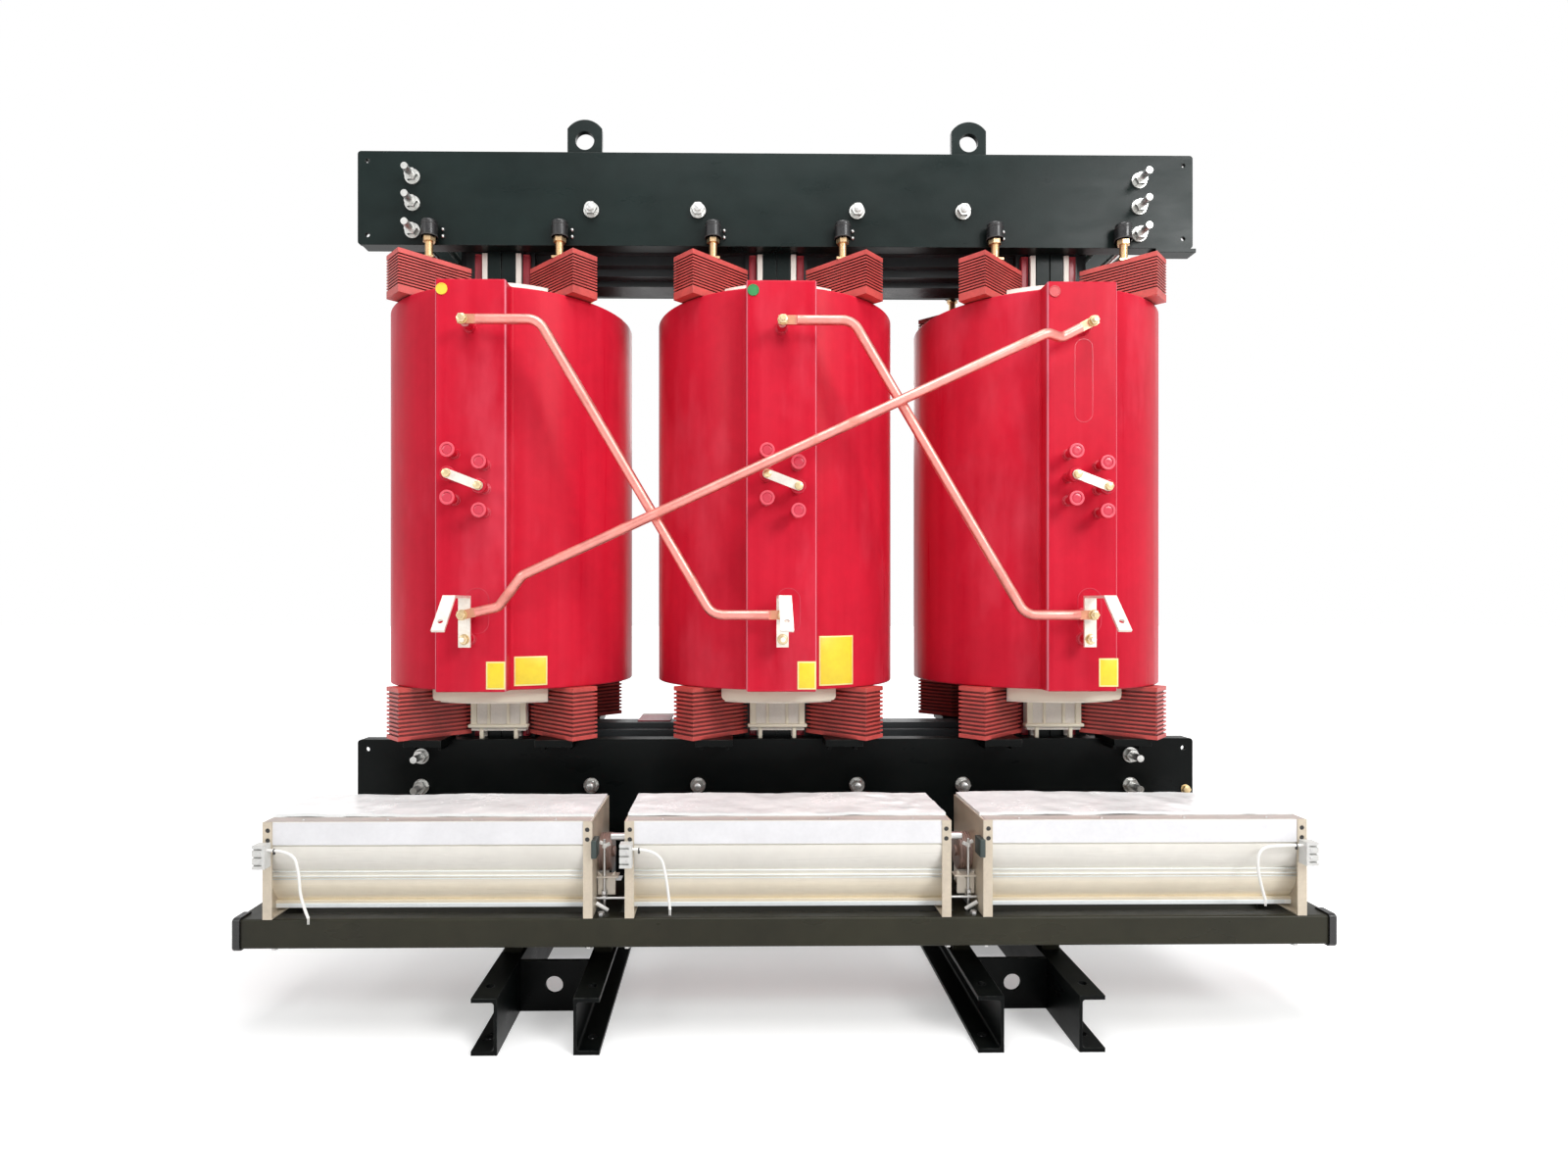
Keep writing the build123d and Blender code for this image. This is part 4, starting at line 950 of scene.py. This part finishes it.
def raised_outline(x, z, half_width, half_height, line):
    """A faint line cast on a tab: an upright oblong with round ends."""
    piece = flat_disc(half_width, x, TAB_Y + 0.0003, z)
    for way in (1, -1):
        pick_out(piece, "VERT", lambda co: (co.z - z) * way > 0.0001)
        bpy.ops.transform.translate(value=(0, 0, way * (half_height - half_width)))
        leave()
    hollow_and_deepen(piece, line, -0.0010)
    return piece


def make_coil_marks():
    """Cast outlines round the lower terminals and, on the last coil, under the upper one."""
    marks = [raised_outline(x + 0.0168, 0.932, 0.030, 0.0566, 0.0016) for x in tab_xs]
    marks.append(raised_outline(tab_xs[2] + 0.0025, 1.500, 0.0228, 0.103, 0.0012))
    done(join(marks), "coil_marks", "coil_resin", smooth=40)


# Bolts, nuts and taps


def make_rod_threads():
    """Rolled threads on the ends of the tie rods and of the short bolts."""
    long_end = thread(0.0092, 0.0085, -0.2115, -0.2465, 0.0022)
    points = [(side * 0.974, 0, z) for side in (-1, 1) for z in (1.944, 2.017, 2.088)]
    points += [(side * 0.950, 0, z) for side in (-1, 1) for z in (0.382, 0.462, 0.543)]
    long_ends = repeat(long_end, both_sides(points))
    short_end = thread(0.0092, 0.0085, -0.2103, -0.2163, 0.0015)
    points = [(x, 0, z) for x in (-0.498, -0.213, 0.213, 0.498) for z in (0.464, 2.001)]
    done(join([long_ends, repeat(short_end, both_sides(points))]), "bolt_threads", "galvanised", smooth=50)


def make_terminal_fittings():
    """Washers, trimmed nuts and threads on the high-voltage studs, and bolts of the tap links."""
    nut = join([
        washer(0.0128, lug_front_y, 0.0022),
        hex_head(0.0196, lug_front_y - 0.002, lug_front_y - 0.0104),
        thread(0.0063, 0.0057, lug_front_y - 0.010, lug_front_y - 0.0172, 0.0012),
    ])
    places = [((x, 0, z), 0) for x in tab_xs for z in (UPPER_STUD_Z, LOWER_STUD_Z)]
    places += [((x, hook_front_y - lug_front_y, SECOND_STUD_Z), 0) for x in tab_xs]
    done(repeat(nut, places), "terminal_nuts", "brass_stud", "yellow_zinc", 40)
    bolt = join([washer(0.0102, TAP_Y - 0.0034, 0.0014), hex_head(0.0176, TAP_Y - 0.0046, TAP_Y - 0.0111)])
    ends = ((-TAP_X, LEFT_TAP_ZS[1]), (TAP_X, RIGHT_TAP_ZS[1]))
    places = [((x + dx, 0, z), 0) for x in tab_xs for dx, z in ends]
    done(repeat(bolt, places), "link_bolts", "brass_stud", "yellow_zinc", 40)


def make_tap_rims():
    """Rounded rims in a paler red, a painted highlight, and dished faces on the heads of the taps that carry
    no link.
    """
    rim = flat_disc(0.0179, 0, TAP_Y + 0.0034, 0)
    hollow_and_deepen(rim, 0.0056, -0.0034)
    round_edges(rim, 0.0011, 3, lambda at, way: at.y < TAP_Y + 0.0001)
    ends = [(-TAP_X, z) for z in LEFT_TAP_ZS[::2]] + [(TAP_X, z) for z in RIGHT_TAP_ZS[::2]]
    places = [((x + dx, 0, z), 0) for x in tab_xs for dx, z in ends]
    done(repeat(rim, places), "tap_rims", "coil_resin", "tap_rim_highlight", 60)
    face = turned([(0.0119, -0.4258), (0.0119, -0.4284), (0.0108, -0.4291), (0.0050, -0.4288)], 28)
    done(repeat(face, places), "tap_faces", "coil_resin", smooth=60)


def make_pressure_fittings():
    """Beads on the black caps, threads on their studs and two small screws beside each."""
    places = both_sides([(x + side * PRESS_X, PRESS_Y, 0) for x in limb_xs for side in (-1, 1)])
    top = cap_top
    beads = (
        [(0.0208, top - 0.0135), (0.0217, top - 0.013), (0.0217, top - 0.0115), (0.0208, top - 0.011)],
        [(0.0212, top - 0.044), (0.0222, top - 0.0435), (0.0222, top - 0.041), (0.0212, top - 0.0405)],
        [(0.0085, top - 0.0005), (0.0085, top + 0.0008), (0.0072, top + 0.0014)],
    )
    collars = join([upright(turned(rings, 32)) for rings in beads])
    done(repeat(collars, places), "cap_beads", "black_cap", smooth=40)
    stud = upright(thread(0.0104, 0.0097, 1.8645, 1.9045, 0.0025))
    done(repeat(stud, places), "pressure_threads", "brass_stud", smooth=50)
    ball = turned([(0.0042, 0.0), (0.0046, -0.0025), (0.0038, -0.005), (0.0018, -0.0064)], 14)
    step = upper_clamp_low.y - PRESS_Y
    done(
        repeat(repeat(ball, [((0.029, step, z), 0) for z in (1.9475, 1.929)]), places),
        "cap_screws",
        "galvanised",
        smooth=60,
    )


# Clamps, trays and hubs


def make_clamp_fittings():
    """Earth bolts on the lower clamps, weld beads at the lifting lugs and strips on the yoke."""
    face = lower_clamp_low.y
    bolt = join([washer(0.0125, face, 0.0024), hex_head(0.019, face - 0.002, face - 0.011)])
    done(repeat(bolt, both_sides([(1.100, 0, 0.450)])), "earth_bolts", "brass_stud", "yellow_zinc", 40)
    bead_z = upper_clamp_high.z + 0.0006
    bead = join([tube_along_x(0.0036, -0.047, 0.047, y, bead_z) for y in (-0.1812, -0.1628)])
    lugs = both_sides([(side * 0.5175, 0, 0) for side in (-1, 1)])
    done(repeat(bead, lugs), "lug_welds", "dark_paint", smooth=50)
    yoke_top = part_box("core_lower_yoke")[1].z
    red = board((-0.395, -0.02, yoke_top - 0.0004), (-0.300, 0.100, yoke_top + 0.0035), 0.0006)
    white = board((-0.395, 0.100, yoke_top - 0.0004), (-0.300, 0.134, yoke_top + 0.0030), 0.0006)
    done(red, "yoke_strip_red", "cream_board", "red_board")
    done(white, "yoke_strip_white", "cream_board", "white_board")


def make_tray_lips():
    """Thick curved lips of the trays under the coils, with rounded lower corners."""
    half_height = 0.0172
    lip = brick((-0.1575, 0, -half_height), (0.1575, 0.036, half_height))
    bend(lip, 1.086)
    round_edges(lip, 0.012, 4, lambda at, way: at.z < -0.017 and abs(at.x) > 0.13 and abs(way.x) < 0.7)
    apply_modifier(lip, "BEVEL", width=0.0015, segments=2, limit_method="ANGLE", angle_limit=0.6)
    turn_piece(lip, to=(0, -0.290, 0.7325 - half_height))
    done(repeat(lip, both_sides(at_limbs)), "tray_lips", "cream_board", smooth=40)


def make_hub_details():
    """Upright ribs on the hubs, a flared rim under them and two short legs."""
    front = -0.174
    details = [
        board((x - half, front - 0.004, 0.624), (x + half, front + 0.001, 0.689), 0.0018)
        for x, half in ((-0.066, 0.008), (-0.026, 0.004), (0.026, 0.004), (0.066, 0.008))
    ]
    details += [
        board((x - 0.005, front - 0.002, 0.586), (x + 0.005, front + 0.012, 0.618)) for x in (-0.046, 0.046)
    ]
    details.append(board((-0.080, front - 0.010, 0.6165), (0.080, front + 0.014, 0.6255), 0.003, 3))
    done(repeat(join(details), both_sides(at_limbs)), "hub_details", "cream_board", smooth=50)


# Films, strips and trims on the fans


def make_fan_films():
    """Loose protective film over the top of every fan, creased and turned down at its ends."""
    half_length, half_depth, middle_y = 0.348, 0.095, -0.493
    deselect()
    bpy.ops.mesh.primitive_grid_add(
        x_subdivisions=90, y_subdivisions=30, size=1, location=(0, middle_y, fan_top + 0.007)
    )
    film = bpy.context.object
    film.scale = (2 * half_length, 2 * half_depth, 1)
    settle()
    rim_x, rim_y = half_length - 0.0001, middle_y - half_depth + 0.0001
    pick_out(film, "EDGE", lambda at, way: abs(at.x) > rim_x or at.y < rim_y)
    bpy.ops.mesh.extrude_region_move(TRANSFORM_OT_translate={"value": (0, 0, -0.006)})
    leave()
    films = repeat(film, both_sides(at_fans))
    for size, strength in ((0.16, 0.010), (0.035, 0.0022)):
        crease = bpy.data.textures.new("crease", "CLOUDS")
        crease.noise_scale = size
        settings = {"strength": strength, "mid_level": 0.5, "direction": "Z", "texture_coords": "LOCAL"}
        apply_modifier(films, "DISPLACE", texture=crease, **settings)
        bpy.data.textures.remove(crease)
    apply_modifier(films, "SOLIDIFY", thickness=0.0004, offset=0)
    done(films, "fan_top_films", "fan_shell", "film", 60)


def make_punched_strips():
    """Punched strips along the top front edge of the fans, each held by four rivets."""
    strip = board((-0.346, -0.6215, fan_top - 0.0002), (0.346, -0.560, fan_top + 0.0013), 0.0004)
    done(repeat(strip, both_sides(at_fans)), "punched_strips", "fan_plate", "punched_sheet")
    rivet = turned([(0.0034, 0.0), (0.0034, 0.0006), (0.0028, 0.0016), (0.0014, 0.0021)], 12)
    rivet = turn_piece(rivet, x=pi / 2, to=(0, -0.612, fan_top + 0.0012))
    spots = both_sides([(x + dx, 0, 0) for x in fan_xs for dx in (-0.27, -0.09, 0.09, 0.27)])
    done(repeat(rivet, spots), "strip_rivets", "galvanised", smooth=50)


def make_front_films():
    """Frosted film pressed on the upright band at the top of every fan."""
    film = board((-0.340, -0.6226, 0.4345), (0.340, -0.6219, fan_top - 0.0015), 0.0002, 1)
    done(repeat(film, both_sides(at_fans)), "fan_front_films", "fan_shell", "frosted_film")


def make_fan_trims():
    """Pressed ribs along every fan in the whiter film finish, a painted highlight, its white bottom lip, and
    dark plates behind the holes, painted shade for the dark inside of the housing.
    """
    half = FAN_END - 0.0032
    rib_lines = ((-0.6050, 0.3720), (-0.6050, 0.3620), (-0.6008, 0.3545))
    # Painted highlight: the ribs take the whiter film finish so that they read as bright lines.
    ribs = join([tube_along_x(0.0011, -half, half, y, z, 10) for y, z in rib_lines])
    done(repeat(ribs, both_sides(at_fans)), "fan_ribs", "fan_shell", "film", 60)
    lip = board((-half, -0.5800, 0.2845), (half, -0.5755, 0.2945), 0.0012)
    done(repeat(lip, both_sides(at_fans)), "fan_lips", "fan_shell", "film")
    # Painted shade: dark plates behind the holes stand for the dark inside of the housing.
    shade_plates = with_mirror(board((0.334, -0.6236, 0.436), (0.346, -0.6205, 0.476), 0.0003, 1))
    done(repeat(shade_plates, both_sides(at_fans)), "fan_hole_pads", "black_cap")


# Fittings in the gaps between the fans


def everywhere(piece):
    """A piece of the left front gap, put in both gaps of both sides."""
    return repeat(with_mirror(piece), both_sides([(0, 0, 0)]))


def make_gap_fittings():
    """What stands between the fans: boxes, tubes, studs with wing nuts, and brackets."""
    left, right = FAN_END - FAN_PITCH, -FAN_END
    stud_x, stud_y = -0.403, -0.570
    box_piece = board((left - 0.0005, -0.640, 0.408), (left + 0.0110, -0.600, 0.446), 0.0015)
    done(everywhere(box_piece), "gap_boxes", "dark_paint", smooth=50)
    steel = join([
        tube_along_x(0.0080, -0.389, right, stud_y, 0.436),
        tube_along_x(0.0030, left, right, -0.575, 0.3017),
        tube_along_z(0.0030, stud_x, stud_y, 0.276, 0.430),
        upright(hex_head(0.012, 0.300, 0.307), stud_x, stud_y),
        upright(hex_head(0.012, 0.310, 0.317), stud_x, stud_y),
        upright(hex_head(0.013, beam_top, beam_top + 0.007), -0.404, -0.606),
    ])
    done(everywhere(steel), "gap_studs", "galvanised", smooth=40)
    nylon = [upright(turned([(0.0048, 0.411), (0.0054, 0.4125), (0.0044, 0.420)], 16), stud_x, stud_y)]
    for turn in (0.45, pi - 0.45):
        wing = board((-0.013, -0.0015, -0.002), (-0.002, 0.0015, 0.006), 0.001)
        nylon.append(turn_piece(wing, y=turn, to=(stud_x, stud_y, 0.4167)))
    hose = turned([(0.0040, 0.0), (0.0044, 0.001), (0.0044, 0.030), (0.0040, 0.031)], 16)
    hose = turn_piece(hose, z=-pi / 2)
    nylon.append(turn_piece(hose, y=0.55, to=(-0.4190, -0.585, 0.2945)))
    done(everywhere(join(nylon)), "gap_nylon", "connector_shell", smooth=50)
    shelf = board((left, -0.575, 0.345), (-0.372, -0.545, 0.3485), 0.001)
    notched = board((left + 0.002, -0.5665, 0.306), (-0.379, -0.5635, 0.358), 0.0006)
    notch_x, near_top = (left - 0.377) / 2, 0.35
    pick_out(notched, "EDGE", lambda at, way: abs(way.x) > 0.9 and at.z > near_top)
    bpy.ops.mesh.subdivide(number_cuts=1)
    leave()
    pick_out(notched, "VERT", lambda co: abs(co.x - notch_x) < 0.004 and co.z > near_top)
    bpy.ops.transform.translate(value=(0, 0, -0.018))
    leave()
    done(everywhere(join([shelf, notched])), "gap_brackets", "fan_plate")


def make_connector_fittings():
    """Screws on the connector blocks, black ties round the pigtails and their bare ends."""
    face = connector_y
    screw = turned([(0.0030, face + 0.0003), (0.0030, face - 0.0008), (0.0024, face - 0.0012)], 16)
    spots = both_sides([(x, 0, z) for x in (-1.114, -0.343, 1.114) for z in (0.4077, 0.4243)])
    done(repeat(screw, spots), "connector_screws", "galvanised", smooth=40)
    ties = []
    for x, z in ((-1.090, 0.4276), (-0.319, 0.4274), (1.090, 0.4316)):
        ties.append(tube_along_x(0.0040, x - 0.0014, x + 0.0014, CORD_Y, z))
        low, high = (x - 0.0022, CORD_Y - 0.0020, z - 0.0085), (x + 0.0022, CORD_Y + 0.0020, z - 0.0030)
        ties.append(board(low, high, 0.0005))
    done(join(ties), "pigtail_ties", "black_cap", smooth=50)
    wires = []
    for route in CORD_ROUTES.values():
        x, z = route[-1]
        wires += [tube_along_z(0.0009, x + dx, CORD_Y, z - 0.013, z + 0.003, 10) for dx in (-0.0014, 0.0014)]
    done(join(wires), "pigtail_ends", "cord_sheath", smooth=50)


def make_beam_bolts():
    """Hexagon heads under the fan beams, below the feet of the end plates."""
    bottom = 0.213
    head = upright(hex_head(0.013, bottom + 0.0003, bottom - 0.0075))
    points = [(side * x, -0.606, 0) for side in (-1, 1) for x in (0.348, 0.431, 1.106)]
    done(repeat(head, both_sides(points)), "beam_bolts", "galvanised", smooth=40)


# Stage


def background_ray(tree):
    """1 for rays from the camera, and for those that metal or glass sends on to the background."""
    path = add_node(tree, "ShaderNodeLightPath").outputs
    mirrored = maths(tree, "MAXIMUM", path["Is Glossy Ray"], path["Is Transmission Ray"])
    return maths(tree, "MAXIMUM", path["Is Camera Ray"], mirrored)


def make_floor(size):
    """A pale floor that keeps the shadow and shows white to the camera far off, with a weaker glow near the
    transformer, a painted shade round it.
    """
    deselect()
    bpy.ops.mesh.primitive_plane_add(size=size)
    floor = bpy.context.object
    floor.name = "floor"
    made = bpy.data.materials.new("floor")
    made.use_nodes = True
    tree = made.node_tree
    tree.nodes.clear()
    seen = background_ray(tree)
    place = add_node(tree, "ShaderNodeTexCoord").outputs["Object"]
    away = add_node(tree, "ShaderNodeVectorMath", {0: place}, operation="LENGTH").outputs["Value"]
    # Painted shade: the glow is 0.35 within 1.4 m of the middle and rises to full at 3.2 m, so the floor
    # darkens round the transformer.
    white = remap(tree, away, 1.4, 3.2, 0.35, 1.0)
    inputs = {"Color": (1, 1, 1, 1), "Strength": maths(tree, "MULTIPLY", seen, white)}
    glow = add_node(tree, "ShaderNodeEmission", inputs)
    chalk = add_node(tree, "ShaderNodeBsdfDiffuse", {"Color": (0.82, 0.82, 0.82, 1)})
    both = add_node(tree, "ShaderNodeAddShader", {0: glow.outputs[0], 1: chalk.outputs[0]})
    add_node(tree, "ShaderNodeOutputMaterial", {"Surface": both.outputs[0]})
    floor.data.materials.append(made)


def make_world():
    """White where the camera looks, softer as light."""
    world = bpy.data.worlds.new("studio")
    bpy.context.scene.world = world
    world.use_nodes = True
    tree = world.node_tree
    seen = background_ray(tree)
    strength = remap(tree, seen, 0.0, 1.0, 0.45, 1.0)
    back = tree.nodes["Background"]
    back.inputs["Color"].default_value = (1, 1, 1, 1)
    tree.links.new(strength, back.inputs["Strength"])


def add_lamp(name, place, target, size, power):
    """A soft square lamp aimed at a point."""
    deselect()
    bpy.ops.object.light_add(type="AREA", location=place)
    lamp = bpy.context.object
    lamp.name = name
    lamp.data.size = size
    lamp.data.energy = power
    lamp.rotation_euler = (Vector(target) - Vector(place)).to_track_quat("-Z", "Y").to_euler()


# Operators


class TRANSFORMER_OT_finishes(bpy.types.Operator):
    """Build the shared effects and give every CAD node its finish"""

    bl_idname = "transformer.finishes"
    bl_label = "Finishes"

    def execute(self, context):
        for name, make in GROUPS.items():
            if name not in bpy.data.node_groups:
                make()
        make_materials()
        finish_nodes()
        return {"FINISHED"}


class TRANSFORMER_OT_pigtails(bpy.types.Operator):
    """Hang the white pigtails from the connector blocks"""

    bl_idname = "transformer.pigtails"
    bl_label = "Pigtails"

    def execute(self, context):
        for phase in PHASES:
            make_cord(phase, context.scene.transformer_sizes.cord_diameter)
        return {"FINISHED"}


class TRANSFORMER_OT_limb_boards(bpy.types.Operator):
    """Line the limbs with their insulating boards"""

    bl_idname = "transformer.limb_boards"
    bl_label = "Limb boards"

    def execute(self, context):
        make_limb_boards()
        return {"FINISHED"}


class TRANSFORMER_OT_coil_plates(bpy.types.Operator):
    """Put the cast marks, the phase discs and the bare yellow plates on the coils"""

    bl_idname = "transformer.coil_plates"
    bl_label = "Coil plates"

    def execute(self, context):
        make_phase_discs()
        make_plates()
        make_coil_marks()
        return {"FINISHED"}


class TRANSFORMER_OT_threads(bpy.types.Operator):
    """Cut threads on the ends of the tie rods"""

    bl_idname = "transformer.threads"
    bl_label = "Threads"

    def execute(self, context):
        make_rod_threads()
        return {"FINISHED"}


class TRANSFORMER_OT_terminals(bpy.types.Operator):
    """Fit the nuts, link bolts and tap rims of the high-voltage side"""

    bl_idname = "transformer.terminals"
    bl_label = "Terminals"

    def execute(self, context):
        make_terminal_fittings()
        make_tap_rims()
        return {"FINISHED"}


class TRANSFORMER_OT_pressure_bolts(bpy.types.Operator):
    """Dress the pressure bolts over the coils"""

    bl_idname = "transformer.pressure_bolts"
    bl_label = "Pressure bolts"

    def execute(self, context):
        make_pressure_fittings()
        return {"FINISHED"}


class TRANSFORMER_OT_clamp_fittings(bpy.types.Operator):
    """Fit the small parts of the clamps, the lower yoke and the hubs"""

    bl_idname = "transformer.clamp_fittings"
    bl_label = "Clamp fittings"

    def execute(self, context):
        make_clamp_fittings()
        make_tray_lips()
        make_hub_details()
        return {"FINISHED"}


class TRANSFORMER_OT_gap_fittings(bpy.types.Operator):
    """Fit what stands between the fans and on their connectors"""

    bl_idname = "transformer.gap_fittings"
    bl_label = "Gap fittings"

    def execute(self, context):
        make_gap_fittings()
        make_connector_fittings()
        make_beam_bolts()
        return {"FINISHED"}


class TRANSFORMER_OT_fan_films(bpy.types.Operator):
    """Lay the films and the punched strips on the fans"""

    bl_idname = "transformer.fan_films"
    bl_label = "Fan films and strips"

    def execute(self, context):
        make_fan_films()
        make_punched_strips()
        make_front_films()
        make_fan_trims()
        return {"FINISHED"}


class TRANSFORMER_OT_stage(bpy.types.Operator):
    """Set the camera, the lamps, the world and the floor"""

    bl_idname = "transformer.stage"
    bl_label = "Stage"

    def execute(self, context):
        stage = context.scene.transformer_stage
        deselect()
        bpy.ops.object.camera_add(
            location=(stage.camera_x, stage.camera_y, stage.camera_z),
            rotation=(pi / 2, 0, stage.camera_yaw),
        )
        camera = context.object
        width, height = 1600, 1200
        camera.data.sensor_width = 36
        camera.data.lens = camera.data.sensor_width * stage.focal_px / width
        camera.data.shift_x = (width / 2 - stage.centre_u) / width
        camera.data.shift_y = (stage.centre_v - height / 2) / width
        camera.data.clip_start = 0.05
        context.scene.camera = camera
        context.scene.view_settings.view_transform = "Standard"
        make_world()
        make_floor(stage.floor_size)
        add_lamp("key", (3.2, -4.0, 3.4), (0, 0, 1.0), 1.8, 150)
        add_lamp("left strip", (-3.4, -2.8, 2.6), (0, 0, 1.2), 1.0, 24)
        add_lamp("top", (0.0, -1.9, 4.4), (0, -0.4, 0.5), 2.2, 95)
        add_lamp("back", (0.5, 4.0, 3.4), (0, 0, 1.2), 2.6, 50)
        return {"FINISHED"}


class TRANSFORMER_PT_panel(bpy.types.Panel):
    """The pieces of the transformer, in order"""

    bl_label = "Transformer"
    bl_idname = "TRANSFORMER_PT_panel"
    bl_space_type = "VIEW_3D"
    bl_region_type = "UI"
    bl_category = "Transformer"

    def draw(self, context):
        for operator in OPERATORS:
            self.layout.operator(operator.bl_idname)
        for settings in ("transformer_colours", "transformer_sizes", "transformer_stage"):
            group = getattr(context.scene, settings)
            for name in group.bl_rna.properties.keys():
                if name not in ("rna_type", "name"):
                    self.layout.prop(group, name)


OPERATORS = (
    TRANSFORMER_OT_finishes,
    TRANSFORMER_OT_stage,
    TRANSFORMER_OT_pigtails,
    TRANSFORMER_OT_limb_boards,
    TRANSFORMER_OT_coil_plates,
    TRANSFORMER_OT_threads,
    TRANSFORMER_OT_terminals,
    TRANSFORMER_OT_pressure_bolts,
    TRANSFORMER_OT_clamp_fittings,
    TRANSFORMER_OT_fan_films,
    TRANSFORMER_OT_gap_fittings,
)
SETTINGS = (TransformerColours, TransformerSizes, TransformerStage)


def register():
    """Register the classes and hang the settings on the scene."""
    for item in SETTINGS + OPERATORS + (TRANSFORMER_PT_panel,):
        bpy.utils.register_class(item)
    bpy.types.Scene.transformer_colours = PointerProperty(type=TransformerColours)
    bpy.types.Scene.transformer_sizes = PointerProperty(type=TransformerSizes)
    bpy.types.Scene.transformer_stage = PointerProperty(type=TransformerStage)


def unregister():
    """Take the settings and the classes away again."""
    for name in ("transformer_colours", "transformer_sizes", "transformer_stage"):
        delattr(bpy.types.Scene, name)
    for item in reversed(SETTINGS + OPERATORS + (TRANSFORMER_PT_panel,)):
        bpy.utils.unregister_class(item)


def main():
    """Build everything in order."""
    register()
    for operator in OPERATORS:
        group, name = operator.bl_idname.split(".")
        getattr(getattr(bpy.ops, group), name)()


if __name__ == "__main__":
    main()
